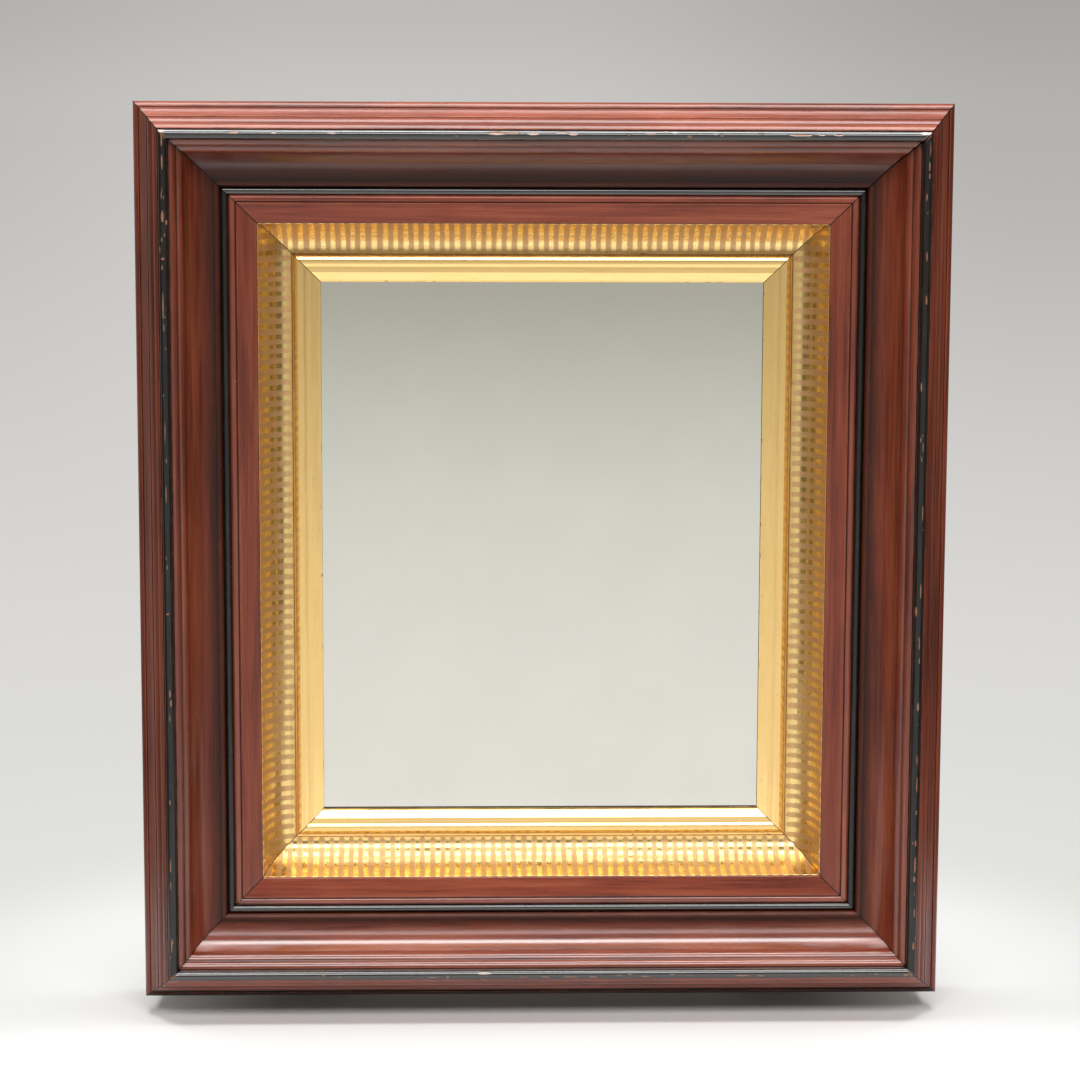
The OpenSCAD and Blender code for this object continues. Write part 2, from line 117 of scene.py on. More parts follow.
@dataclass(frozen=True)
class Lines:
    """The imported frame's main lines, in millimetres."""

    half_w: float
    half_h: float
    depth: float
    mid_z: float
    floor: float

    @classmethod
    def measure(cls) -> "Lines":
        """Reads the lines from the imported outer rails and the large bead.

        Returns:
            The frame's half sizes, its depth, the height of its middle and that of its foot.
        """
        foot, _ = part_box("outer_rail_bottom")
        _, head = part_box("outer_rail_top")
        west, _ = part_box("outer_rail_left")
        crown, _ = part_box("outer_bead_bottom")
        half_h = (head.z - foot.z) / 2 / MM
        return cls(-west.x / MM, half_h, -crown.y / MM, (head.z + foot.z) / 2 / MM, foot.z / MM)

    def band(self, prefix: str) -> Band:
        """Measures one kind of rail on its bottom piece.

        Args:
            prefix: The node's name without its side.

        Returns:
            The reach of that piece's section.
        """
        lo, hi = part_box(prefix + "_bottom")
        foot = self.floor
        return Band(lo.z / MM - foot, hi.z / MM - foot, self.depth + lo.y / MM, self.depth + hi.y / MM)

    def half(self, side: Side) -> float:
        """Half the outer length of a rail."""
        return self.half_h if side.upright else self.half_w

    def off(self, side: Side) -> float:
        """Distance of a rail's outer edge from the frame's middle."""
        return self.half_w if side.upright else self.half_h


def arc(p: Point, q: Point, rise: float, steps: int = 8) -> list[Point]:
    """Points of a circular arc between two points.

    Args:
        p: The first end.
        q: The last end.
        rise: Height of the arc to the right of the way from p to q, or to the left if negative.
        steps: Number of chords.

    Returns:
        The points, ends included.
    """
    (pu, pz), (qu, qz) = p, q
    chord = math.hypot(qu - pu, qz - pz)
    sag = abs(rise)
    radius = (chord * chord / 4 + sag * sag) / (2 * sag)
    half = math.asin(min(1.0, chord / 2 / radius))
    eu, ez = (qu - pu) / chord, (qz - pz) / chord
    mu, mz = math.copysign(1, rise) * ez, -math.copysign(1, rise) * eu
    made = []
    for i in range(steps + 1):
        turn = -half + 2 * half * i / steps
        along, up = radius * math.sin(turn), radius * math.cos(turn) - radius + sag
        made.append(((pu + qu) / 2 + eu * along + mu * up, (pz + qz) / 2 + ez * along + mz * up))
    return made


def dished(p: Point, q: Point, lean: tuple[Point, ...], steps: int = 36) -> list[Point]:
    """Points of a hollow whose lean is given at shares of the way across it.

    Args:
        p: Its steep end.
        q: Its flat end, which the fall is scaled to meet.
        lean: Pairs of a share of the way across and the lean there, in degrees from level.
        steps: Number of chords, the shortest at the steep end.

    Returns:
        The points, ends included.
    """
    across = np.linspace(0, 1, steps + 1) ** 2
    shares, leans = zip(*lean)
    fall = np.tan(np.radians(np.interp(across, shares, leans)))
    drop = np.concatenate([[0], np.cumsum((fall[1:] + fall[:-1]) / 2 * np.diff(across))])
    u = p[0] + (q[0] - p[0]) * across
    z = p[1] + (q[1] - p[1]) * drop / drop[-1]
    return list(zip(u.tolist(), z.tolist()))


def half_round(u0: float, u1: float, top: float, steps: int) -> list[Point]:
    """Points of a half-round bead between u0 and u1 whose crown is at the depth top.

    Args:
        u0: Its outer edge.
        u1: Its inner edge.
        top: Depth of its crown.
        steps: Number of chords.

    Returns:
        The points, ends included.
    """
    radius, middle = (u1 - u0) / 2, (u0 + u1) / 2
    turns = [math.pi * i / steps for i in range(steps + 1)]
    return [(middle - radius * math.cos(t), top + radius - radius * math.sin(t)) for t in turns]


def worked(outline: list[Point], arris: float, longest: float = 1.6) -> np.ndarray:
    """Eases the corners of a closed section and divides its long flats.

    Args:
        outline: The section's corners in order.
        arris: How far each corner is eased along its two sides.
        longest: Longest side left undivided.

    Returns:
        The finished section, one row of (u, z) for each point.
    """
    raw = [np.array(p) for i, p in enumerate(outline) if math.dist(p, outline[i - 1]) > 0.01]
    eased = []
    for i, here in enumerate(raw):
        back, ahead = raw[i - 1] - here, raw[(i + 1) % len(raw)] - here
        a, b = np.linalg.norm(back), np.linalg.norm(ahead)
        turn = math.degrees(math.acos(np.clip(-(back @ ahead) / (a * b), -1, 1)))
        if turn < LEAST_TURN:
            eased.append(here)
            continue
        start, end = here + back / a * min(arris, a * 0.4), here + ahead / b * min(arris, b * 0.4)
        for t in (0, 0.33, 0.67, 1):
            eased.append(start * (1 - t) ** 2 + here * 2 * t * (1 - t) + end * t * t)
    made = []
    for i, here in enumerate(eased):
        ahead = eased[(i + 1) % len(eased)]
        cuts = max(1, math.ceil(np.linalg.norm(ahead - here) / longest))
        made += [here + (ahead - here) * k / cuts for k in range(cuts)]
    return np.array(made)


def turning(section: np.ndarray) -> tuple[np.ndarray, np.ndarray, np.ndarray]:
    """Reads a section's corners and its outward directions.

    Args:
        section: A closed section from worked().

    Returns:
        The share of wear with painted glint on each point, from 0 to 1, its share of dirt, and its outward
        normal.
    """
    ahead = np.roll(section, -1, 0) - section
    back = np.roll(ahead, 1, 0)
    area = np.sum(section[:, 0] * np.roll(section[:, 1], -1) - np.roll(section[:, 0], -1) * section[:, 1])
    hand = math.copysign(1, area)
    cross = back[:, 0] * ahead[:, 1] - back[:, 1] * ahead[:, 0]
    bend = np.arctan2(cross, (back * ahead).sum(1)) * hand
    steps = np.linalg.norm(ahead, axis=1)
    place = np.concatenate([[0], np.cumsum(steps)[:-1]])
    gap = np.abs(place[:, None] - place[None, :])
    gap = np.minimum(gap, place[-1] + steps[-1] - gap)
    sharp = np.exp(-((gap / CORNER_REACH) ** 2)) @ bend / CORNER_REACH
    rub_and_glint = np.clip((sharp - RUB_FROM) / RUB_SPAN, 0, 1)
    dirt = np.clip((-sharp - DIRT_FROM) / DIRT_SPAN, 0, 1)
    unit = ahead / steps[:, None]
    mean = unit + np.roll(unit, 1, 0)
    out = np.stack([mean[:, 1], -mean[:, 0]], 1) * hand
    return rub_and_glint, dirt, out / np.linalg.norm(out, axis=1)[:, None]


def graded(section: np.ndarray, *stops: Point) -> np.ndarray:
    """A value for each point of a section, read between stops of (u, value)."""
    return np.interp(section[:, 0], *zip(*stops))


def publish(piece: bpy.types.Object, slot: str, body: str, *nodes: str) -> None:
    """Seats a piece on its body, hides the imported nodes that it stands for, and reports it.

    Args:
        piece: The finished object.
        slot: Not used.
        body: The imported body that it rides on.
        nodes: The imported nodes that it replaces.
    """
    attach(piece, body)
    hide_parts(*nodes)
    log.info("%s: %d faces", piece.name, len(piece.data.polygons))


def smooth(mesh: bpy.types.Mesh, angle: float = 38.0) -> None:
    """Shades a mesh smooth except across edges that turn more than the angle, in degrees."""
    mesh.polygons.foreach_set("use_smooth", [True] * len(mesh.polygons))
    mesh.set_sharp_from_angle(angle=math.radians(angle))


def outward(mesh: bpy.types.Mesh) -> None:
    """Turns a closed mesh's faces outward.

    Args:
        mesh: The mesh, changed in place.
    """
    work = bmesh.new()
    work.from_mesh(mesh)
    inside_out = work.calc_volume(signed=True) < 0
    work.free()
    if inside_out:
        mesh.flip_normals()


def taken(work: bmesh.types.BMesh, name: str) -> bpy.types.Mesh:
    """Moves what was built in a bmesh into a new mesh.

    Args:
        work: The bmesh, freed afterwards.
        name: The mesh's name.

    Returns:
        The mesh.
    """
    mesh = bpy.data.meshes.new(name)
    work.to_mesh(mesh)
    work.free()
    return mesh


def new_object(name: str, mesh: bpy.types.Mesh, *finishes: bpy.types.Material) -> bpy.types.Object:
    """Links a new object with its materials.

    Args:
        name: Its name.
        mesh: Its mesh.
        finishes: Its materials in order.

    Returns:
        The object.
    """
    piece = bpy.data.objects.new(name, mesh)
    bpy.context.scene.collection.objects.link(piece)
    for finish in finishes:
        mesh.materials.append(finish)
    return piece


def mark(mesh: bpy.types.Mesh, name: str, values: np.ndarray) -> None:
    """Writes one number, or one vector, for each vertex as a named attribute."""
    kind, key = ("FLOAT", "value") if values.ndim == 1 else ("FLOAT_VECTOR", "vector")
    mesh.attributes.new(name, kind, "POINT").data.foreach_set(key, values.astype(np.float32).ravel())


class Value:
    """One output of a node tree, reckoned with like a number."""

    def __init__(self, nodes: "Nodes", socket: bpy.types.NodeSocket) -> None:
        """Holds the output and its tree."""
        self.nodes, self.socket = nodes, socket

    def reckon(self, operation: str, other: object = 0.0, swapped: bool = False) -> "Value":
        """What a Math node makes of this and another."""
        return self.nodes.math(operation, *((other, self) if swapped else (self, other)))

    __add__ = partialmethod(reckon, "ADD")
    __sub__ = partialmethod(reckon, "SUBTRACT")
    __rsub__ = partialmethod(reckon, "SUBTRACT", swapped=True)
    __mul__ = partialmethod(reckon, "MULTIPLY")
    __truediv__ = partialmethod(reckon, "DIVIDE")
    __pow__ = partialmethod(reckon, "POWER")
    __abs__ = partialmethod(reckon, "ABSOLUTE")

    def fade(self, low: float, high: float, at_low: float = 0.0, at_high: float = 1.0) -> "Value":
        """A smooth step from at_low to at_high as this goes from low to high."""
        ends = (low, high, at_low, at_high)
        return self.nodes.make("MapRange", self, *ends, interpolation_type="SMOOTHSTEP")


class Nodes:
    """A node tree with short calls for what the finishes share."""

    def __init__(self, tree: bpy.types.NodeTree) -> None:
        """Clears the tree and takes it over."""
        self.tree = tree
        tree.nodes.clear()

    def add(self, kind: str, **settings: object) -> bpy.types.Node:
        """Adds a node of a kind and applies its settings.

        Args:
            kind: The node's type after ShaderNode.
            settings: Its own properties.

        Returns:
            The node.
        """
        made = self.tree.nodes.new("ShaderNode" + kind)
        for key, value in settings.items():
            setattr(made, key, value)
        return made

    def feed(self, target: bpy.types.NodeSocket, value: object) -> None:
        """Links a value to the target, or writes a plain number or colour into it.

        Args:
            target: The input.
            value: A Value, a number, a colour or a vector.
        """
        if isinstance(value, Value):
            self.tree.links.new(value.socket, target)
        elif isinstance(value, tuple) and target.type == "RGBA":
            target.default_value = (*value, 1)
        else:
            target.default_value = value

    def fill(self, node: bpy.types.Node, **values: object) -> bpy.types.Node:
        """Feeds a node's inputs by name, with _ for a space.

        Args:
            node: The node.
            values: What each input takes.

        Returns:
            The same node.
        """
        for key, value in values.items():
            self.feed(node.inputs[key.replace("_", " ")], value)
        return node

    def out(self, node: bpy.types.Node, key: int | str = 0) -> Value:
        """One of a node's outputs."""
        return Value(self, node.outputs[key])

    def make(self, kind: str, *values: object, **settings: object) -> Value:
        """Adds a node, feeds its first inputs in order and returns its first output.

        Args:
            kind: The node's type after ShaderNode.
            values: What its first inputs take.
            settings: Its own properties.

        Returns:
            The first output.
        """
        made = self.add(kind, **settings)
        for socket, value in zip(made.inputs, values):
            self.feed(socket, value)
        return self.out(made)

    def math(self, operation: str, a: object, b: object = 0.0, clamp: bool = False) -> Value:
        """A Math node's result."""
        return self.make("Math", a, b, operation=operation, use_clamp=clamp)

    def scaled(self, vector: Value, by: Triple) -> Value:
        """A vector stretched along its three axes."""
        return self.make("VectorMath", vector, by, operation="MULTIPLY")

    def noise(
        self, vector: Value, scale: float | Triple, detail: float = 2.0, rough: float = 0.5, warp: float = 0.0
    ) -> Value:
        """A Noise Texture's value, its scale the same along all axes or one for each.

        Args:
            vector: Place in metres.
            scale: Cells per metre.
            detail: Number of finer layers.
            rough: How much the finer layers count.
            warp: How far the pattern is distorted.

        Returns:
            The value, about 0.5 on average.
        """
        if isinstance(scale, tuple):
            vector, scale = self.scaled(vector, scale), 1.0
        made = self.add("TexNoise")
        self.fill(made, Vector=vector, Scale=scale, Detail=detail, Roughness=rough, Distortion=warp)
        return self.out(made)

    def cells(self, vector: Value, scale: float) -> tuple[Value, Value]:
        """A Voronoi Texture's distance and its cell colour."""
        made = self.fill(self.add("TexVoronoi"), Vector=vector, Scale=scale)
        return self.out(made, "Distance"), self.out(made, "Color")

    def mix(self, share: object, a: object, b: object, blend: str = "MIX") -> Value:
        """A colour mixed from a to b.

        Args:
            share: How much of b.
            a: The first colour.
            b: The second colour.
            blend: The way of mixing.

        Returns:
            The colour.
        """
        made = self.add("Mix", data_type="RGBA", blend_type=blend)
        for index, value in ((0, share), (6, a), (7, b)):
            self.feed(made.inputs[index], value)
        return self.out(made, 2)

    def ramp(self, value: Value, *stops: tuple[float, Triple]) -> Value:
        """A colour ramp's colour.

        Args:
            value: Place on the ramp.
            stops: Two or more pairs of a place and its colour.

        Returns:
            The colour.
        """
        made = self.add("ValToRGB")
        self.feed(made.inputs[0], value)
        band = made.color_ramp
        for extra in range(len(stops) - 2):
            band.elements.new(0.5 + 0.01 * extra)
        for element, (place, colour) in zip(band.elements, stops):
            element.position = place
            element.color = (*colour, 1)
        return self.out(made)

    def read(self, name: str, output: str = "Fac") -> Value:
        """What a mesh's named attribute holds."""
        return self.out(self.add("Attribute", attribute_name=name), output)

    def split(self, vector: Value) -> tuple[Value, Value, Value]:
        """A vector's three parts.

        Args:
            vector: The vector.

        Returns:
            Its X, Y and Z.
        """
        made = self.add("SeparateXYZ")
        self.feed(made.inputs[0], vector)
        return self.out(made, 0), self.out(made, 1), self.out(made, 2)

    def bump(self, height: Value, depth: float, under: Value | None = None) -> Value:
        """A bumped normal.

        Args:
            height: The height.
            depth: Metres for a height of 1.
            under: A normal that it is laid over.

        Returns:
            The normal.
        """
        made = self.fill(self.add("Bump"), Height=height, Distance=depth)
        if under is not None:
            self.feed(made.inputs["Normal"], under)
        return self.out(made)

    def grain(self, source: Grain) -> Value:
        """A vector in metres whose X runs along the fibres.

        Args:
            source: Where the grain is read from.

        Returns:
            The vector.
        """
        if source is Grain.RAIL:
            return self.read("grain", "Vector")
        x, y, z = self.split(self.out(self.add("TexCoord"), "Object"))
        order = {Grain.ACROSS: (x, y, z), Grain.DEEP: (y, z, x), Grain.UP: (z, x, y)}[source]
        return self.make("CombineXYZ", *order)

    def reach(self, a: Value, b: Value) -> Value:
        """The length of a vector of two parts."""
        return self.math("SQRT", a**2.0 + b**2.0)

    def surface(self, shader: Value, kind: str = "OutputMaterial") -> None:
        """Gives the tree its output."""
        self.feed(self.add(kind).inputs["Surface"], shader)

    def principled(self, **values: object) -> None:
        """A Principled shader as the tree's output, its sockets given by name with _ for a space."""
        self.surface(self.out(self.fill(self.add("BsdfPrincipled"), **values)))

    def specks(self, vector: Value, scale: float, size: float, share: float) -> Value:
        """Sparse round specks, 1 inside a speck and 0 elsewhere.

        Args:
            vector: Place in metres.
            scale: Cells per metre.
            size: Speck radius as a share of a cell.
            share: Share of the cells that hold a speck.

        Returns:
            The mask.
        """
        distance, cell = self.cells(vector, scale)
        x, y, _ = self.split(cell)
        chosen = self.math("GREATER_THAN", x, 1 - share)
        return chosen * self.math("LESS_THAN", distance, (y + 0.3) * size)


def new_material(name: str) -> tuple[bpy.types.Material, Nodes]:
    """A new material and its empty node tree.

    Args:
        name: Its name.

    Returns:
        The material and its tree.
    """
    made = bpy.data.materials.new(name)
    made.use_nodes = True
    return made, Nodes(made.node_tree)


@dataclass(frozen=True)
class Finish:
    """A material that each kind wires in its own way."""

    name: str

    def wire(self, n: Nodes) -> None:
        """Fills the empty tree."""
        raise NotImplementedError

    def build(self) -> bpy.types.Material:
        """Makes the finish.

        Returns:
            The material. Walnut, black and gilding read the attributes that a rail's sweep writes, and the
            other finishes are placed by object coordinates.
        """
        made, n = new_material(self.name)
        self.wire(n)
        return made


@dataclass(frozen=True)
class Walnut(Finish):
    """Polished red-brown walnut: streaks and pores along the rail, old polish and painted shade in the
    grooves, painted glint on the worn arrises, a bare back.
    """

    name: str = "polished_walnut"
    dark: Triple = (0.140, 0.024, 0.011)
    body: Triple = (0.310, 0.058, 0.026)
    light: Triple = (0.440, 0.105, 0.048)
    # Lighter edge colour: wear with a painted glint
    rubbed: Triple = (0.50, 0.155, 0.065)
    wax: Triple = (0.022, 0.011, 0.008)
    dust: Triple = (0.62, 0.55, 0.48)
    seam: Triple = (0.006, 0.004, 0.003)
    raw: Triple = (0.27, 0.165, 0.09)
    ripple: float = 0.00030
    tooth: float = 0.00004

    def wire(self, n: Nodes) -> None:
        """Wires the wood from the figure up to the polish.

        Args:
            n: The material's empty tree.
        """
        place = n.grain(Grain.RAIL)
        streaks = n.noise(place, (9, 210, 210), 5, 0.62, 0.35)
        fibres = n.noise(place, (34, 1500, 1500), 3, 0.6)
        clouds = n.noise(place, (11, 30, 30))
        tone = streaks * 0.72 + fibres * 0.28 + (clouds - 0.5) * 0.35
        wood = n.ramp(tone, (0.34, self.dark), (0.50, self.body), (0.66, self.light))
        # The tone attribute is the painted light and shade of each rail and part
        own = n.read("tone")
        wood = n.mix(1.0, wood, n.make("CombineXYZ", own, own, own), "MULTIPLY")
        pores = n.noise(place, (150, 3300, 3300), 1).fade(0.66, 0.72)
        wood = n.mix(pores * 0.55, wood, self.dark)
        patchy = n.noise(place, (70, 400, 400), 3, 0.7)
        # Lighter on the edges: wear, with a painted glint
        rub_and_glint = n.read("rub_and_glint") * patchy.fade(0.34, 0.66)
        wood = n.mix(rub_and_glint * 0.75, wood, self.rubbed)
        # Darker in the grooves: old polish and dirt, with painted shade in the outer hollow
        wood = n.mix(n.read("dirt") * patchy.fade(0.15, 0.5, 0.55, 0.95), wood, self.wax)
        flecks = n.specks(place, 95, 0.026, 0.22)
        wood = n.mix(flecks * 0.75, wood, self.dust)
        wood = n.mix(n.read("mitre").fade(0.18, 0.66, 0.97, 0.0), wood, self.seam)
        back = n.read("back")
        wood = n.mix(back * tone.fade(0.3, 0.6, 0.95, 0.7), wood, self.raw)
        worn = patchy.fade(0.2, 0.8, 0.26, 0.40) + pores * 0.15 + back * 0.35
        kept = n.read("polish") * patchy.fade(0.2, 0.5, 0.75, 1.0) * (1.0 - back)
        swell = n.bump(n.noise(place, (40, 160, 160)), self.ripple)
        n.principled(
            Base_Color=wood,
            Roughness=worn + flecks * 0.4,
            Normal=n.bump(fibres * 0.25 - pores * 0.6, self.tooth, swell),
            Specular_IOR_Level=0.22,
            Coat_Weight=kept,
            Coat_Roughness=0.17,
            Coat_IOR=1.8,
        )


@dataclass(frozen=True)
class Ebonised(Finish):
    """Black lacquered bead with a soft gloss, chipped to bare wood where it has been knocked."""

    name: str = "ebonised_lacquer"
    black: Triple = (0.012, 0.0105, 0.0095)
    haze: Triple = (0.060, 0.056, 0.052)
    wood: Triple = (0.52, 0.235, 0.125)
    raw_edge: Triple = (0.16, 0.058, 0.03)
    dust: Triple = (0.55, 0.5, 0.45)
    seam: Triple = (0.006, 0.005, 0.004)
    ripple: float = 0.00012
    chip_step: float = 0.00008

    def wire(self, n: Nodes) -> None:
        """Wires the lacquer, its chips and the dust on it.

        Args:
            n: The material's empty tree.
        """
        place = n.grain(Grain.RAIL)
        ragged = n.noise(place, (420, 1500, 1500), 4, 0.65)
        depth = n.read("wear") + (ragged - 0.5) * 1.1
        chip = depth.fade(0.50, 0.56)
        rim = depth.fade(0.42, 0.50) - chip
        cloudy = n.noise(place, (60, 500, 500), 4, 0.6)
        coat = n.mix(cloudy.fade(0.45, 0.85, 0.0, 0.55), self.black, self.haze)
        fibres = n.noise(place, (60, 1800, 1800), 2, 0.6)
        bare = n.mix(0.6, n.mix(fibres.fade(0.3, 0.7), self.raw_edge, self.wood), self.wood)
        colour = n.mix(chip, n.mix(rim, coat, self.raw_edge), bare)
        colour = n.mix(n.specks(place, 160, 0.035, 0.10) * 0.7, colour, self.dust)
        colour = n.mix(n.read("mitre").fade(0.15, 0.5, 0.95, 0.0), colour, self.seam)
        waves = n.noise(place, (210, 260, 260), 3, 0.6)
        n.principled(
            Base_Color=colour,
            Roughness=n.math("ADD", cloudy.fade(0.3, 0.8, 0.17, 0.34), chip * 0.4, clamp=True),
            Normal=n.bump(fibres * 0.06 - chip, self.chip_step, n.bump(waves, self.ripple)),
            Specular_IOR_Level=0.1,
            Coat_Weight=n.read("polish"),
            Coat_Roughness=0.16,
            Coat_IOR=1.88,
        )


@dataclass(frozen=True)
class Gilding(Finish):
    """Gold leaf over gesso, with dull bands across the rail where a stripe pitch is given."""

    leaf: Triple = (0.98, 0.72, 0.29)
    worn_leaf: Triple = (0.86, 0.55, 0.19)
    dull: Triple = (0.74, 0.47, 0.23)
    clay: Triple = (0.32, 0.10, 0.045)
    old_size_and_shade: Triple = (0.50, 0.22, 0.05)
    dust: Triple = (0.30, 0.22, 0.14)
    seam: Triple = (0.045, 0.022, 0.010)
    raw: Triple = (0.32, 0.20, 0.105)
    pitch: float = 0.0
    dull_share: float = 0.52
    crease: float = 0.0
    taper: float = 1.3
    uneven: float = 1.1
    burnish: float = 0.15
    swell: float = 0.000006
    tooth: float = 0.000002

    def stripes(self, n: Nodes, place: Value) -> Value:
        """Dull bands across the rail, drawn by hand: uneven, and rounded off short of the crease.

        Args:
            n: The material's nodes.
            place: The grain vector, X along the rail and Y in from the outer edge, in metres.

        Returns:
            1 on a dull band and 0 on burnished leaf.
        """
        along, inward, _ = n.split(place)
        drift = n.noise(place, (55, 0.0, 22), 1)
        waver = n.noise(place, (330, 420, 420))
        turns = along / (self.pitch * MM) + 0.21 + (drift - 0.5) * 0.55
        inside = abs(n.math("FRACT", turns) - 0.5)
        own = n.add("TexWhiteNoise", noise_dimensions="1D")
        n.fill(own, W=n.math("FLOOR", turns))
        left = self.crease * MM - n.math("FRACT", inward) - n.out(own, "Value") * (self.uneven * MM)
        tip = n.math("DIVIDE", left, self.taper * MM, clamp=True) ** 0.45
        width = ((waver - 0.5) * 0.16 + self.dull_share / 2) * tip
        return (inside - width).fade(-0.06, 0.06, 1.0, 0.0)

    def wire(self, n: Nodes) -> None:
        """Wires the leaf, its wear down to the clay, and the bare wood behind it.

        Args:
            n: The material's empty tree.
        """
        place = n.grain(Grain.RAIL)
        mottle = n.noise(place, (60, 420, 420), 4, 0.6)
        laps = n.noise(place, (25, 260, 260), 3, 0.7)
        colour = n.mix(mottle.fade(0.42, 0.78, 0.0, 0.35), self.leaf, self.worn_leaf)
        rough = laps.fade(0.3, 0.8, self.burnish * 0.75, self.burnish * 1.5)
        bare = n.noise(place, (240, 700, 700), 4, 0.7).fade(0.60, 0.68) * (n.read("rub_and_glint") * 0.7 + 0.06)
        seam = n.read("mitre").fade(0.12, 0.42, 0.94, 0.0)
        back = n.read("back")
        metal = (1.0 - n.math("MAXIMUM", bare, seam) * 0.9) * (1.0 - back)
        if self.pitch:
            dull = self.stripes(n, place)
            powder = n.noise(place, (900, 1500, 1500), 3, 0.6)
            matt = n.mix(0.72, n.mix(powder.fade(0.3, 0.75), self.dull, self.worn_leaf), self.dull)
            colour = n.mix(dull, colour, matt)
            rough = rough + dull * 0.20
            metal = metal * (1.0 - dull * 0.32)
        colour = n.mix(bare, colour, self.clay)
        # Old size in the hollows, with painted shade in the slip's top and side creases
        colour = n.mix(n.read("dirt") * mottle.fade(0.2, 0.6, 0.6, 1.0), colour, self.old_size_and_shade)
        colour = n.mix(n.specks(place, 130, 0.03, 0.10) * 0.6, colour, self.dust)
        colour = n.mix(seam, colour, self.seam)
        fine = n.noise(place, (500, 2200, 2200))
        n.principled(
            Base_Color=n.mix(back, colour, n.mix(mottle, self.raw, self.dull)),
            Metallic=metal,
            Roughness=rough + back * 0.5,
            Normal=n.bump(fine, self.tooth, n.bump(n.noise(place, (60, 330, 330), 3, 0.55), self.swell)),
        )


@dataclass(frozen=True)
class Pine(Finish):
    """Bare old pine: growth rings, a few knots, saw marks and handling dirt."""

    grain: Grain
    early: Triple = (0.50, 0.315, 0.165)
    late: Triple = (0.27, 0.135, 0.060)
    grime: Triple = (0.10, 0.062, 0.038)
    knot: Triple = (0.12, 0.050, 0.022)
    rings: float = 300.0
    heart: float = 0.031
    saw: float = 0.35
    saw_teeth: float = 2900.0
    tooth: float = 0.00016

    def wire(self, n: Nodes) -> None:
        """Wires the rings round a heart outside the board, and what lies over them.

        Args:
            n: The material's empty tree.
        """
        place = n.grain(self.grain)
        along, a, b = n.split(place)
        wander = (n.noise(place, (4.5, 16, 16)) - 0.5) * 0.055
        knots, _ = n.cells(n.scaled(place, (6.5, 14, 14)), 1)
        phase = (n.reach(a + self.heart, b) + wander) * self.rings
        ring = n.math("FRACT", phase + knots.fade(0.05, 0.3, 1.0, 0.0) * 1.5)
        late = ring.fade(0.35, 0.92) * ring.fade(0.94, 1.0, 1.0, 0.0)
        fibres = n.noise(place, (30, 1100, 1100), 3, 0.65)
        clouds = n.noise(place, (14, 26, 26), 5, 0.65)
        blots = n.noise(place, (60, 90, 90), 4, 0.7)
        wood = n.mix(late * 0.8, self.early, self.late)
        wood = n.mix(fibres.fade(0.35, 0.8, 0.0, 0.35), wood, self.late)
        wood = n.mix(knots.fade(0.045, 0.085, 0.9, 0.0), wood, self.knot)
        wood = n.mix(clouds.fade(0.42, 0.78, 0.0, 0.6), wood, self.grime)
        wood = n.mix(blots.fade(0.62, 0.70, 0.0, 0.35), wood, self.grime)
        saw = n.math("SINE", (along + a * 0.35) * self.saw_teeth) * self.saw * clouds.fade(0.3, 0.6)
        n.principled(
            Base_Color=wood,
            Roughness=fibres.fade(0.3, 0.8, 0.62, 0.86),
            Normal=n.bump(fibres * 0.6 + late * 0.35 + saw * 0.5, self.tooth),
            Specular_IOR_Level=0.3,
        )


@dataclass(frozen=True)
class Metal(Finish):
    """An aged metal: bright where it is rubbed, browned or rusted elsewhere."""

    bright: Triple
    aged: Triple
    spots: Triple
    metallic: float = 1.0
    smoothness: tuple[float, float] = (0.28, 0.55)
    pitting: float = 0.00005

    def wire(self, n: Nodes) -> None:
        """Wires the patina and its spots.

        Args:
            n: The material's empty tree.
        """
        place = n.grain(Grain.ACROSS)
        clouds = n.noise(place, 130, 5, 0.65)
        fine = n.noise(place, 900, 4, 0.6)
        spots = fine.fade(0.60, 0.70)
        colour = n.mix(clouds.fade(0.38, 0.66), self.bright, self.aged)
        n.principled(
            Base_Color=n.mix(spots * 0.7, colour, self.spots),
            Metallic=self.metallic,
            Roughness=clouds.fade(0.3, 0.7, *self.smoothness) + spots * 0.2,
            Normal=n.bump(fine - spots, self.pitting),
        )


@dataclass(frozen=True)
class OldGlass(Finish):
    """Clear old plate glass with a faint grey-green body and a very slight wave."""

    name: str = "old_plate_glass"
    body: Triple = (0.985, 0.99, 0.98)
    wave: float = 0.00010

    def wire(self, n: Nodes) -> None:
        """Wires the glass and the thin film on it.

        Args:
            n: The material's empty tree.
        """
        place = n.grain(Grain.ACROSS)
        n.principled(
            Base_Color=self.body,
            Roughness=n.noise(place, (26, 26, 14), 5, 0.7).fade(0.5, 0.9, 0.0, 0.018),
            IOR=1.51,
            Transmission_Weight=1.0,
            Normal=n.bump(n.noise(place, 11, 1, 0.4), self.wave),
        )


@dataclass(frozen=True)
class Silver(Finish):
    """Silvering seen through the plate, faintly mottled, with a few dark pinholes and pale specks."""

    name: str = "plate_silvering"
    bright: Triple = (0.825, 0.805, 0.75)
    pale: Triple = (0.845, 0.825, 0.765)
    pinhole: Triple = (0.30, 0.29, 0.25)
    speck: Triple = (0.80, 0.79, 0.74)

    def wire(self, n: Nodes) -> None:
        """Wires the silver and its specks.

        Args:
            n: The material's empty tree.
        """
        place = n.grain(Grain.ACROSS)
        colour = n.mix(n.noise(place, 22, 4, 0.6).fade(0.35, 0.7), self.bright, self.pale)
        colour = n.mix(n.specks(place, 55, 0.016, 0.07) * 0.35, colour, self.pinhole)
        dust = n.specks(place, 120, 0.022, 0.05)
        n.principled(Base_Color=n.mix(dust, colour, self.speck), Metallic=1.0 - dust, Roughness=0.02)


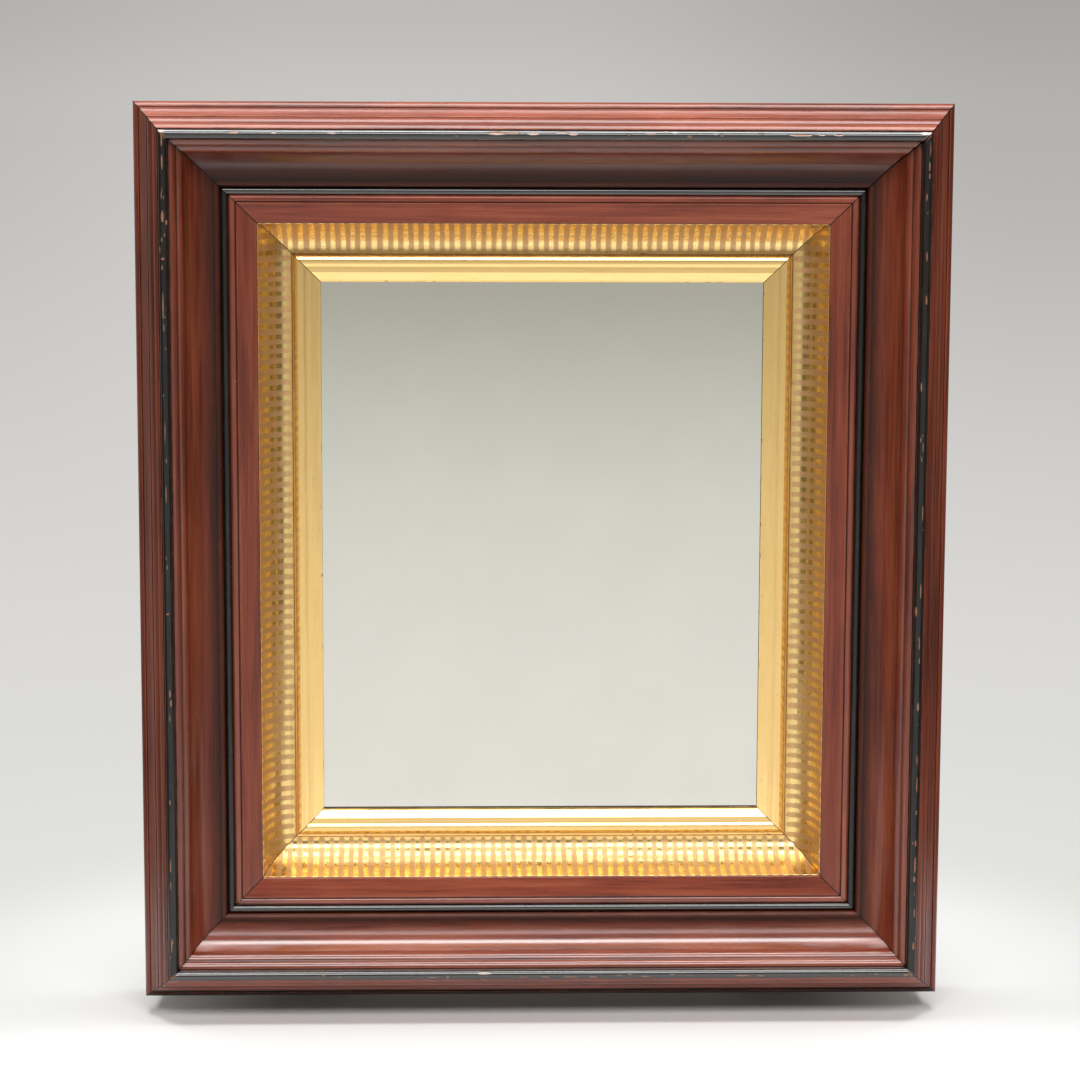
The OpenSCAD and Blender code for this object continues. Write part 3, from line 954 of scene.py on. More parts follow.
@dataclass(frozen=True)
class BackingPaint(Finish):
    """The dull red-brown paint over the silvering's back."""

    name: str = "silvering_paint"
    coat: Triple = (0.19, 0.065, 0.045)
    thin: Triple = (0.30, 0.13, 0.09)

    def wire(self, n: Nodes) -> None:
        """Wires the brushed paint."""
        brush = n.noise(n.grain(Grain.ACROSS), (12, 300, 300), 4, 0.6)
        n.principled(Base_Color=n.mix(brush.fade(0.3, 0.8), self.coat, self.thin), Roughness=0.7)


@dataclass(frozen=True)
class Chip:
    """A place where a bead has lost its black, in millimetres along the rail and across the crown."""

    run: float
    length: float
    across: float
    width: float


KNOCKS = {
    side: tuple(Chip(*row) for row in rows)
    for side, rows in {
        Side.TOP: (
            (-201, 2.5, -1.9, 0.8), (-163, 3.1, -0.9, 0.55), (-142, 0.9, -0.8, 0.4), (-112, 1.3, -0.7, 0.35),
            (-26, 4.7, -0.9, 0.8), (-18, 3.5, -1.0, 0.45), (-7, 2.6, -0.6, 0.55), (8, 3.6, -1.3, 0.3),
            (14, 2.2, -0.5, 0.6), (54, 2.4, -0.8, 0.35), (62, 1.5, -1.9, 0.4), (133, 6.2, -0.4, 0.5),
            (144, 1.5, -0.5, 0.3), (153, 2.0, -0.5, 0.35), (199, 3.2, -1.6, 0.7),
        ),
        Side.BOTTOM: (
            (-195, 3.4, -1.9, 0.45), (-185, 1.9, -1.9, 0.3), (-148, 3.3, -1.8, 0.45), (-141, 1.8, -1.8, 0.4),
            (-119, 3.3, -1.8, 0.35), (-110, 2.5, -1.8, 0.3), (-60, 2.7, -0.6, 0.4), (-52, 0.8, -0.6, 0.9),
            (-32, 3.2, 1.6, 0.5), (-11, 3.5, -0.7, 0.3), (1, 2.7, -0.6, 0.35), (15, 4.9, -0.7, 0.35),
            (27, 2.7, -0.7, 0.4), (55, 2.7, -0.6, 0.4), (108, 4.6, -0.4, 0.5), (118, 2.4, -0.6, 0.45),
            (168, 1.9, -0.8, 0.4), (197, 1.7, -0.7, 0.7),
        ),
        Side.LEFT: (
            (222, 2.6, 0.0, 0.4), (211, 4.2, 0.1, 0.4), (194, 2.1, -0.4, 0.3), (183, 3.2, 0.0, 0.7),
            (180, 1.5, 2.0, 0.7), (171, 1.2, -0.5, 0.4), (166, 2.1, -1.7, 0.4), (161, 0.6, -0.3, 1.3),
            (136, 7.4, -0.3, 0.35), (125, 2.1, 0.0, 0.3), (70, 6.4, -0.2, 0.25), (37, 4.8, 0.0, 0.3),
            (-27, 0.5, 0.0, 0.9), (-70, 2.1, 0.6, 0.5), (-75, 2.1, 1.1, 0.5), (-83, 2.1, 0.3, 0.3),
            (-129, 1.6, -0.2, 0.4), (-164, 4.3, -0.3, 0.35), (-175, 2.7, -0.4, 0.3), (-208, 4.4, -0.3, 0.35),
        ),
        Side.RIGHT: (
            (219, 4.3, -0.8, 0.3), (210, 2.7, -0.5, 0.4), (205, 1.7, -0.6, 0.4), (194, 2.1, 0.7, 0.3),
            (163, 2.7, 0.0, 0.3), (140, 2.7, -0.2, 0.45), (94, 2.7, 1.5, 0.4), (66, 1.7, 1.2, 0.3),
            (62, 2.7, -0.1, 0.3), (27, 4.3, -0.6, 0.3), (-15, 4.2, -0.4, 0.35), (-26, 2.9, 1.8, 0.6),
            (-45, 2.1, -0.2, 0.35), (-53, 1.7, -0.4, 0.35), (-78, 2.3, -0.2, 0.65), (-107, 2.7, -0.3, 0.3),
            (-121, 4.8, -0.5, 0.3), (-136, 1.6, -0.5, 0.35), (-153, 1.8, -0.5, 0.5), (-165, 4.8, -0.5, 0.55),
            (-173, 1.7, -0.2, 0.7), (-192, 2.2, -0.6, 0.5), (-210, 2.3, -0.6, 0.7),
        ),
    }.items()
}


@dataclass(frozen=True)
class Care:
    """How one outer rail has been kept: the gloss of its parts, and the painted light and shade that their
    colour is multiplied by.
    """

    edge_gloss: float = 0.25
    slope_gloss: float = 0.25
    reeds_gloss: float = 0.6
    hollow_gloss: float = 0.6
    gloss_end: float = 28.5
    edge_lighting: float = 1.0
    slope_lighting: float = 1.0
    reeds_lighting: float = 1.0
    hollow_lighting: float = 1.0


# Painted light and shade: the top reeds lit and the top hollow shaded, the bottom slope lit and the bottom
# edge shaded
CARE = {
    Side.TOP: Care(reeds_gloss=0.8, hollow_gloss=1.0, reeds_lighting=1.6, hollow_lighting=0.45),
    Side.BOTTOM: Care(
        edge_gloss=0.1,
        slope_gloss=0.9,
        reeds_gloss=1.0,
        hollow_gloss=1.0,
        gloss_end=31.2,
        edge_lighting=0.12,
        slope_lighting=2.0,
    ),
    Side.LEFT: Care(),
    Side.RIGHT: Care(edge_gloss=0.2, slope_gloss=0.2),
}


@dataclass
class Rail:
    """A moulding of four mitred rails swept from one section."""

    lines: Lines
    finish: bpy.types.Material
    prefix: str = ""
    title: str = ""
    slot: str = "walnut"
    step: float = 3.0
    arris: float = 0.28
    mitre_gap: float = 0.085
    waver: float = 0.02
    waver_pitch: float = 14.0
    waver_across: float = 9.0
    waver_apart: float = 7.3
    corner_dirt: float = 1.0
    strained: tuple[Point, ...] = ((0, 0.05), (8, 0.16), (16, 0.42), (30, 0.36), (46, 0.10), (62, 0.0))
    # Painted light by rail: each rail's walnut is made lighter or darker as it looks lit
    rail_lighting: dict[Side, float] = field(default_factory=dict)
    gloss: dict[Side, float] = field(default_factory=dict)

    def outline(self) -> list[Point]:
        """The section's corners in order."""
        raise NotImplementedError

    def opening(self, side: Side, end: int, u: np.ndarray) -> np.ndarray:
        """How far each point of a section is held back from its mitre, most at the strained top right one.

        Args:
            side: The rail.
            end: -1 for its left or lower end and 1 for the other.
            u: Distance in from the outer edge of each point.

        Returns:
            Millimetres for each point.
        """
        opened = np.full_like(u, self.mitre_gap)
        if end == 1 and side in (Side.TOP, Side.RIGHT):
            opened += np.interp(u, *zip(*self.strained))
        return opened

    def relief(self, side: Side, run: np.ndarray, section: np.ndarray) -> np.ndarray:
        """How far each vertex stands proud of the drawn section.

        Args:
            side: The rail.
            run: Distance along the rail for each station and point.
            section: The worked section.

        Returns:
            Millimetres for each station and point.
        """
        seeds = section.sum(1) / self.waver_across
        lifted = np.empty_like(run)
        for i in range(run.shape[0]):
            for j in range(run.shape[1]):
                spot = (run[i, j] / self.waver_pitch, seeds[j], side.seed * self.waver_apart)
                lifted[i, j] = noise.noise(spot)
        return (np.minimum(lifted, 1) - 1) * self.waver / 2

    def marks(self, mesh: bpy.types.Mesh, side: Side, run: np.ndarray, section: np.ndarray) -> None:
        """Writes what a piece's finish needs beyond the shared attributes."""

    def polish(self, side: Side, section: np.ndarray) -> np.ndarray:
        """How well each point of a rail's section has kept its gloss, from 0 to 1."""
        return np.full(len(section), self.gloss.get(side, 1.0))

    def unfinished(self, section: np.ndarray) -> np.ndarray:
        """1 on the points at the back, where the wood was left bare, and 0 on the face."""
        return (section[:, 1] > self.lines.band(self.prefix).z1 - 0.05).astype(float)

    def shade(self, side: Side, section: np.ndarray) -> np.ndarray:
        """Painted light and shade: what each point's colour is multiplied by."""
        return np.full(len(section), self.rail_lighting.get(side, 1.0))

    def grime(self, side: Side, section: np.ndarray) -> np.ndarray:
        """Dirt, and on some rails painted shade, on each point of the section beyond what its corners hold,
        from 0 to 1.
        """
        return np.zeros(len(section))

    def sweep(self, side: Side) -> bpy.types.Object:
        """Sweeps the section along one rail between its mitres.

        Args:
            side: The rail.

        Returns:
            The new piece, closed at both ends.
        """
        section = worked(self.outline(), self.arris)
        rub_and_glint, dirt, out = turning(section)
        u, z = section[:, 0], section[:, 1]
        half = self.lines.half(side)
        count = max(2, round(2 * half / self.step))
        stations = np.linspace(-1, 1, count + 1)[:, None]
        low, high = (half - u - self.opening(side, end, u) for end in (-1, 1))
        reach = np.where(stations < 0, low, high)
        run = stations * reach
        lift = self.relief(side, run, section)
        uu, zz = u + out[:, 0] * lift, z + out[:, 1] * lift
        along, inward = (np.array(v, float) for v in side.value)
        middle = np.array([0, -self.lines.depth, self.lines.mid_z])
        place = middle + run[..., None] * along + (uu - self.lines.off(side))[..., None] * inward
        place[..., 1] += zz
        grid = np.arange(run.size).reshape(run.shape)
        here, there = grid[:-1], grid[1:]
        quads = np.stack([here, there, np.roll(there, -1, 1), np.roll(here, -1, 1)], -1).reshape(-1, 4)
        faces = quads.tolist() + [grid[0].tolist(), grid[-1][::-1].tolist()]
        mesh = bpy.data.meshes.new(f"{self.title}_{side.label}")
        mesh.from_pydata((place * MM).reshape(-1, 3).tolist(), [], faces)
        outward(mesh)
        grain = np.stack(np.broadcast_arrays(run * MM, u * MM + side.seed, z * MM), -1)
        mark(mesh, "grain", grain.reshape(-1, 3))
        held = {
            "rub_and_glint": rub_and_glint,
            # Dirt, with painted shade from grime()
            "dirt": np.maximum(dirt * self.corner_dirt, self.grime(side, section)),
            "polish": self.polish(side, section),
            # Painted light and shade go into the tone attribute
            "tone": self.shade(side, section),
            "back": self.unfinished(section),
        }
        for name, values in held.items():
            mark(mesh, name, np.broadcast_to(values, run.shape).ravel())
        mark(mesh, "mitre", ((half - u) - np.abs(run)).ravel())
        self.marks(mesh, side, run, section)
        smooth(mesh)
        return new_object(mesh.name, mesh, self.finish)

    def build(self) -> None:
        """Sweeps all four rails and seats them on the frame."""
        for side in Side:
            publish(self.sweep(side), self.slot, "frame", f"{self.prefix}_{side.label}")


@dataclass
class OuterMoulding(Rail):
    """The walnut outer moulding: a reeded slope outside the large bead, two reeds and a cove inside it."""

    prefix: str = "outer_rail"
    title: str = "walnut_moulding"
    edge_drop: float = 25.0
    edge_reed: float = 2.8
    edge_quirk: float = 1.3
    quirk: float = 0.3
    slope_band: float = 3.8
    slope_rise: float = 0.62
    foot_out: float = 4.4
    foot_in: float = 6.3
    reed: Point = (3.6, 3.6)
    fillet: Point = (3.3, 4.8)
    reed_rise: float = 1.1
    hollow: tuple[Point, Point] = ((0.3, 1.6), (15.0, 13.0))
    lean: tuple[Point, ...] = ((0.0, 62), (0.1, 57), (0.3, 46), (0.45, 36), (0.6, 26), (1.0, 13))
    ridge: Point = (2.9, 1.9)
    ridge_rise: float = 0.9
    seat_gap: float = 0.05
    # Places in from the edge where gloss and painted light are given, and the old polish with painted shade,
    # with its share at each
    gloss_at: tuple[float, ...] = (4.4, 5.4, 13.8, 14.4, 26.2, 27.0)
    dull_at: tuple[float, ...] = (33.0, 36.0, 41.0)
    lighting_at: tuple[float, ...] = (4.4, 5.4, 17.0, 18.0, 26.2, 28.5, 30.0, 38.0, 41.6, 42.0)
    old_wax: tuple[Point, ...] = ((30, 0.0), (36, 0.35), (41, 0.92), (44.7, 0.70))

    def outline(self) -> list[Point]:
        """The section's corners.

        Returns:
            The corners in order.
        """
        own, bead = self.lines.band(self.prefix), self.lines.band("outer_bead")
        outer, inner = bead.u0 - self.seat_gap, bead.u1 + self.seat_gap

        def slope(u: float) -> Point:
            """The point of the plain slope at u."""
            return u, self.edge_drop - (self.edge_drop - self.foot_out) * u / bead.u0

        band = self.edge_reed + self.edge_quirk
        middle = (band + self.slope_band + bead.u0) / 2
        reed = (bead.u1 + self.reed[0], self.foot_in + self.reed[1])
        fillet = (reed[0] + self.fillet[0], reed[1] + self.fillet[1])
        steep, flat = [(fillet[0] + across, fillet[1] + down) for across, down in self.hollow]
        gu, gz = slope(self.edge_reed)
        bu, bz = slope(band)
        eu, ez = slope(band + self.slope_band)
        quirk = self.quirk
        drawn = [
            *arc((0, self.edge_drop), (gu, gz), self.slope_rise),
            (gu + quirk, gz + quirk),
            (bu + 0.6 * quirk, bz + 0.6 * quirk),
            *arc((bu, bz), (eu, ez), -self.slope_rise / 4, 6),
            (eu + 0.2 * quirk, ez + quirk),
            *arc((eu + 0.3, ez), slope(middle), self.slope_rise),
            *arc((middle + 0.1, slope(middle)[1]), (outer, self.foot_out), self.slope_rise),
            (outer, bead.z1),
            (inner, bead.z1),
            *arc((inner, self.foot_in), reed, self.reed_rise),
            *arc((reed[0] + 0.1, reed[1] + 0.2), (fillet[0], fillet[1] - 0.5), self.reed_rise * 0.9),
            fillet,
            *dished(steep, flat, self.lean),
            *arc((flat[0] + 0.05, flat[1] - 0.3), (own.u1, flat[1] + self.ridge[1]), self.ridge_rise),
            (own.u1, own.z1),
            (0, own.z1),
        ]
        return [(max(u, 0), z) for u, z in drawn]

    def polish(self, side: Side, section: np.ndarray) -> np.ndarray:
        """Bright on the reeds and the hollow's outer half, dull where it runs out flat.

        Args:
            side: The rail.
            section: The worked section.

        Returns:
            The share of gloss that each point has kept.
        """
        care = CARE[side]
        slope, reeds, hollow = care.slope_gloss, care.reeds_gloss, care.hollow_gloss
        shares = (care.edge_gloss, slope, slope, reeds, reeds, hollow, hollow, hollow * 0.5, 0.1, 0.05)
        return graded(section, *zip((*self.gloss_at, care.gloss_end, *self.dull_at), shares))

    def shade(self, side: Side, section: np.ndarray) -> np.ndarray:
        """Painted light and shade by part: shade under the bottom rail's outer edge and in the top hollow,
        light on the bottom slope and the top reeds.

        Args:
            side: The rail.
            section: The worked section.

        Returns:
            The painted light and shade that each point's colour is multiplied by.
        """
        care = CARE[side]
        slope, reeds, hollow = care.slope_lighting, care.reeds_lighting, care.hollow_lighting
        shares = (care.edge_lighting, slope, slope, reeds, reeds, 1.0, 1.0, hollow, hollow, 1.0)
        return super().shade(side, section) * graded(section, *zip(self.lighting_at, shares))

    def grime(self, side: Side, section: np.ndarray) -> np.ndarray:
        """Old polish settled where the hollow runs out, with painted shade there."""
        return graded(section, *self.old_wax)


@dataclass
class InnerMoulding(Rail):
    """The walnut inner moulding: a small reed beside the thin bead and a flat band down to the gilding."""

    prefix: str = "inner_rail"
    title: str = "walnut_band"
    reed: float = 3.5
    quirk: float = 0.7
    flat_drop: float = 30.1
    flat_fall: float = 2.2
    lip: float = 3.9
    lip_reach: float = 5.5
    reed_end: float = 52.0
    flat_start: float = 53.5

    def outline(self) -> list[Point]:
        """The section's corners.

        Returns:
            The corners in order.
        """
        own, bead = self.lines.band(self.prefix), self.lines.band("inner_bead")
        shoulder = bead.u1 + 0.05
        crest = shoulder + self.reed
        flat = crest + self.quirk
        foot = self.flat_drop + self.flat_fall
        return [
            (own.u0, bead.z1),
            (shoulder, bead.z1),
            *arc((shoulder, self.flat_drop + 1.2), (crest, self.flat_drop + 0.5), 0.8),
            (crest + self.quirk * 0.4, self.flat_drop + 1.0),
            (flat, self.flat_drop + 0.3),
            (flat + 0.3, self.flat_drop),
            (own.u1 - 0.3, foot - 0.05),
            (own.u1, foot + 0.2),
            (own.u1, foot + self.lip),
            (own.u1 - self.lip_reach, foot + self.lip),
            (own.u1 - self.lip_reach, own.z1),
            (own.u0, own.z1),
        ]

    def unfinished(self, section: np.ndarray) -> np.ndarray:
        """1 behind the lip and 0 on the face."""
        return (section[:, 1] > self.flat_drop + self.flat_fall + 0.5).astype(float)

    def polish(self, side: Side, section: np.ndarray) -> np.ndarray:
        """Bright on the small reed and dull on the flat band."""
        flat = 0.55 if side is Side.BOTTOM else 0.3
        return graded(section, (self.reed_end, self.gloss.get(side, 0.7)), (self.flat_start, flat))


@dataclass
class Bead(Rail):
    """An ebonised half-round bead let into its seat."""

    slot: str = "ebonised"
    step: float = 1.0
    waver: float = 0.035
    waver_pitch: float = 7.0
    chips: dict[Side, tuple[Chip, ...]] = field(default_factory=dict)
    scuffing: float = 0.0
    scuff_length: tuple[float, float] = (0.4, 1.6)
    scuff_across: tuple[float, float] = (-0.2, 0.8)
    scuff_width: tuple[float, float] = (0.2, 0.35)
    chip_middle: float = 1.25
    chip_falloff: float = 0.75
    worn_tips: float = 0.0
    tip_reach: float = 2.4
    crown_depth: float = 3.5
    dent: float = 0.13
    dent_from: float = 0.45
    dent_span: float = 0.25
    facets: int = 22
    quirk: float = 0.0

    def outline(self) -> list[Point]:
        """The section's corners.

        Returns:
            The corners in order.
        """
        own = self.lines.band(self.prefix)
        start = own.u0 + self.quirk
        return [*half_round(start, own.u1, own.z0, self.facets), (own.u1, own.z1), (start, own.z1)]

    def worn(self, side: Side, run: np.ndarray, section: np.ndarray) -> np.ndarray:
        """How badly each vertex is knocked, 0 for sound lacquer and 1 for bare wood.

        Args:
            side: The rail.
            run: Distance along the rail for each station and point.
            section: The worked section.

        Returns:
            The share for each station and point.
        """
        own = self.lines.band(self.prefix)
        across = section[:, 0] - (own.u0 + own.u1) / 2
        ends = self.lines.half(side) - section[:, 0]
        found = np.zeros_like(run)
        rng = random.Random(40 + side.seed)
        many = round(self.scuffing * self.lines.half(side) / 10)
        span = self.lines.half(side) - own.u1
        scatter = [
            Chip(
                rng.uniform(-1, 1) * span,
                rng.uniform(*self.scuff_length),
                rng.gauss(*self.scuff_across),
                rng.uniform(*self.scuff_width),
            )
            for _ in range(many)
        ]
        for chip in (*self.chips.get(side, ()), *scatter):
            far = ((run - chip.run) / chip.length) ** 2 + ((across - chip.across) / chip.width) ** 2
            found = np.maximum(found, np.clip(self.chip_middle - self.chip_falloff * far, 0, 1))
        tips = np.clip(1 - (ends - np.abs(run)) / self.tip_reach, 0, 1)
        tips = tips * np.clip(1.1 - np.abs(across) / own.u1 * 4, 0, 1)
        crown = np.clip(1 - (section[:, 1] - own.z0) / self.crown_depth, 0, 1)
        return np.maximum(found, tips * self.worn_tips) * crown

    def relief(self, side: Side, run: np.ndarray, section: np.ndarray) -> np.ndarray:
        """How far each vertex stands proud of the drawn section, knocked places sunk."""
        sunk = np.clip((self.worn(side, run, section) - self.dent_from) / self.dent_span, 0, 1)
        return super().relief(side, run, section) - self.dent * sunk

    def marks(self, mesh: bpy.types.Mesh, side: Side, run: np.ndarray, section: np.ndarray) -> None:
        """Writes the wear attribute."""
        mark(mesh, "wear", self.worn(side, run, section).ravel())


@dataclass
class GiltCove(Rail):
    """The striped gilt cove that falls from the walnut band to the crease."""

    prefix: str = "gilt_cove"
    title: str = "striped_gilt_cove"
    slot: str = "gilt"
    step: float = 4.0
    waver: float = 0.012
    brim: float = 0.4
    fall: float = 24.9
    lean: tuple[Point, ...] = ((0.0, 86), (0.15, 71), (0.4, 55), (0.7, 40), (0.85, 26), (1.0, 10))
    curl: float = 2.4
    toe: float = 2.1
    toe_reach: float = 5.2
    head: float = 36.3

    def outline(self) -> list[Point]:
        """The section's corners.

        Returns:
            The corners in order.
        """
        own, band = self.lines.band(self.prefix), self.lines.band("inner_rail")
        start = band.u1 + 0.1
        low = own.z0 + self.fall
        steep, flat = (start + self.brim, own.z0 + 0.15), (own.u1 - self.curl, low)
        return [
            (start, own.z0 + 0.15),
            (start + 0.12, own.z0),
            *dished(steep, flat, self.lean),
            (own.u1 - self.curl * 0.5, low - 0.08),
            (own.u1, low - 0.28),
            (own.u1, low + self.toe),
            (own.u1 - self.toe_reach, low + self.toe),
            (own.u1 - self.toe_reach, own.z1),
            (own.u0, own.z1),
            (own.u0, self.head),
            (start, self.head),
        ]

    def unfinished(self, section: np.ndarray) -> np.ndarray:
        """1 behind the gilded hollow and outside it, and 0 on the gilding.

        Args:
            section: The worked section.

        Returns:
            The mask for each point.
        """
        own, band = self.lines.band(self.prefix), self.lines.band("inner_rail")
        behind = (section[:, 1] > own.z0 + self.fall + 0.4) | (section[:, 0] < band.u1)
        return behind.astype(float)

    def grime(self, side: Side, section: np.ndarray) -> np.ndarray:
        """Dust and old size where the hollow meets the crease."""
        return np.interp(self.lines.band(self.prefix).u1 - section[:, 0], [0.4, 1.6], [0.6, 0.0])


@dataclass
class GiltSlip(Rail):
    """The gilt slip: a low flat ridge beside the crease, a shallow tread, and the bevel to the glass."""

    prefix: str = "gilt_slip"
    title: str = "gilt_slip_moulding"
    slot: str = "gilt_plain"
    step: float = 4.0
    arris: float = 0.16
    waver: float = 0.02
    crease: float = 1.2
    rebate: float = 7.1
    toe: float = 60.0
    face: float = 58.2
    glass: float = 60.4
    ridge: tuple[Point, ...] = ((0.0, 0.0), (0.0, -0.45), (2.2, -1.22), (4.3, -1.16), (5.8, -0.45))
    tread: tuple[Point, ...] = ((5.9, -0.39), (9.0, -0.24), (9.1, -0.19))
    bevel: tuple[Point, ...] = ((-0.3, 2.12), (0.0, 2.18))

    def outline(self) -> list[Point]:
        """The section's corners.

        Returns:
            The corners in order.
        """
        own = self.lines.band(self.prefix)
        start = self.lines.band("gilt_cove").u1 + 0.1
        rise, sight = self.crease + start, own.u1
        return [
            (own.u0, self.toe),
            (start, self.toe),
            (start, self.face),
            *((rise + across, self.face + down) for across, down in (*self.ridge, *self.tread)),
            *((sight + across, self.face + down) for across, down in self.bevel),
            (sight, self.glass),
            (sight - self.rebate, self.glass),
            (sight - self.rebate, own.z1),
            (own.u0, own.z1),
        ]

    def grime(self, side: Side, section: np.ndarray) -> np.ndarray:
        """Dust and old size in the crease, with painted shade in the top and side creases; the lit bottom
        rail gets least.

        Args:
            side: The rail.
            section: The worked section.

        Returns:
            The share of dirt and painted shade on each point.
        """
        rise = self.lines.band("gilt_cove").u1 + self.crease
        # Painted shade: the top and side creases darker than the bottom one
        dust = 0.25 if side is Side.BOTTOM else 0.85
        return graded(section, (rise + 0.1, dust), (rise + 0.4, 0.0))


def plank(
    name: str, lo: Vector, hi: Vector, cell: float, ease: float, rough: float, seed: int
) -> bpy.types.Mesh:
    """A sawn board with eased edges and slightly uneven faces.

    Args:
        name: The mesh's name.
        lo: Lowest corner.
        hi: Highest corner.
        cell: Spacing of its vertices, in metres.
        ease: How far its arrises are eased, in metres.
        rough: How far its faces wander inward, in metres.
        seed: Number that makes its wear its own.

    Returns:
        The mesh.
    """
    work = bmesh.new()
    size = hi - lo
    place = Matrix.Translation((lo + hi) / 2) @ Matrix.Diagonal((*size, 1))
    bmesh.ops.create_cube(work, size=1, matrix=place)
    bmesh.ops.bevel(work, geom=work.edges[:], offset=ease, segments=2, affect="EDGES", profile=0.6)
    for axis in range(3):
        cuts = int(size[axis] / cell) - 1
        for k in range(1, cuts + 1):
            flat = Vector(int(axis == other) for other in range(3))
            spot = flat * (lo[axis] + size[axis] * k / (cuts + 1))
            whole = work.verts[:] + work.edges[:] + work.faces[:]
            bmesh.ops.bisect_plane(work, geom=whole, plane_co=spot, plane_no=flat)
    work.normal_update()
    (slow, slow_share), (quick, quick_share) = SAW_WAVES
    for vert in work.verts:
        coarse, fine = vert.co * slow + Vector((seed, 0, 0)), vert.co * quick
        shift = noise.noise(coarse) * slow_share + noise.noise(fine) * quick_share
        vert.co -= vert.normal * rough * (0.5 + 0.5 * shift)
    mesh = taken(work, name)
    smooth(mesh, 32)
    return mesh


def islands(node: str) -> list[tuple[Vector, Vector]]:
    """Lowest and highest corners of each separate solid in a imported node.

    Args:
        node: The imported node.

    Returns:
        A pair for each solid, in order of the lowest corner.
    """
    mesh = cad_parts[node].data
    parent: dict[tuple[int, int, int], tuple[int, int, int]] = {}

    def root(key: tuple[int, int, int]) -> tuple[int, int, int]:
        """The spot that stands for a solid."""
        while parent.setdefault(key, key) != key:
            key = parent[key]
        return key

    keys = [tuple(round(c / SAME_SPOT) for c in v.co) for v in mesh.vertices]
    for face in mesh.polygons:
        first = root(keys[face.vertices[0]])
        for index in face.vertices[1:]:
            parent[root(keys[index])] = first
    found: dict[tuple[int, int, int], list[Vector]] = {}
    for key, vert in zip(keys, mesh.vertices):
        found.setdefault(root(key), []).append(vert.co)
    boxes = [(Vector(map(min, *group)), Vector(map(max, *group))) for group in found.values()]
    return sorted(boxes, key=lambda box: tuple(round(c, 5) for c in box[0]))


@dataclass
class MirrorPlate:
    """The silvered plate: clear glass, the silver behind it and the paint on its back."""

    glass: bpy.types.Material
    silver: bpy.types.Material
    paint: bpy.types.Material
    film: float = 0.00003
    plate_cell: float = 0.02
    plate_ease: float = 0.0004
    coat_cell: float = 0.03
    coat_ease: float = 0.00004
    flatness: float = 5.0

    def build(self) -> None:
        """Cuts the plate and lays its silvering."""
        lo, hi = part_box("mirror_glass")
        hi.y -= self.film
        sheet = plank("mirror_plate", lo, hi, self.plate_cell, self.plate_ease, 0.0, 1)
        plate = new_object("mirror_plate", sheet, self.glass)
        sheet = plank("silver_coat", *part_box("silvering"), self.coat_cell, self.coat_ease, 0.0, 2)
        coat = new_object("silver_coat", sheet, self.silver, self.paint)
        for face in coat.data.polygons:
            face.material_index = 0 if face.normal.y < -0.5 else 1
        smooth(plate.data, self.flatness)
        smooth(coat.data, self.flatness)
        publish(plate, "glass", "frame", "mirror_glass")
        publish(coat, "silver", "frame", "silvering")


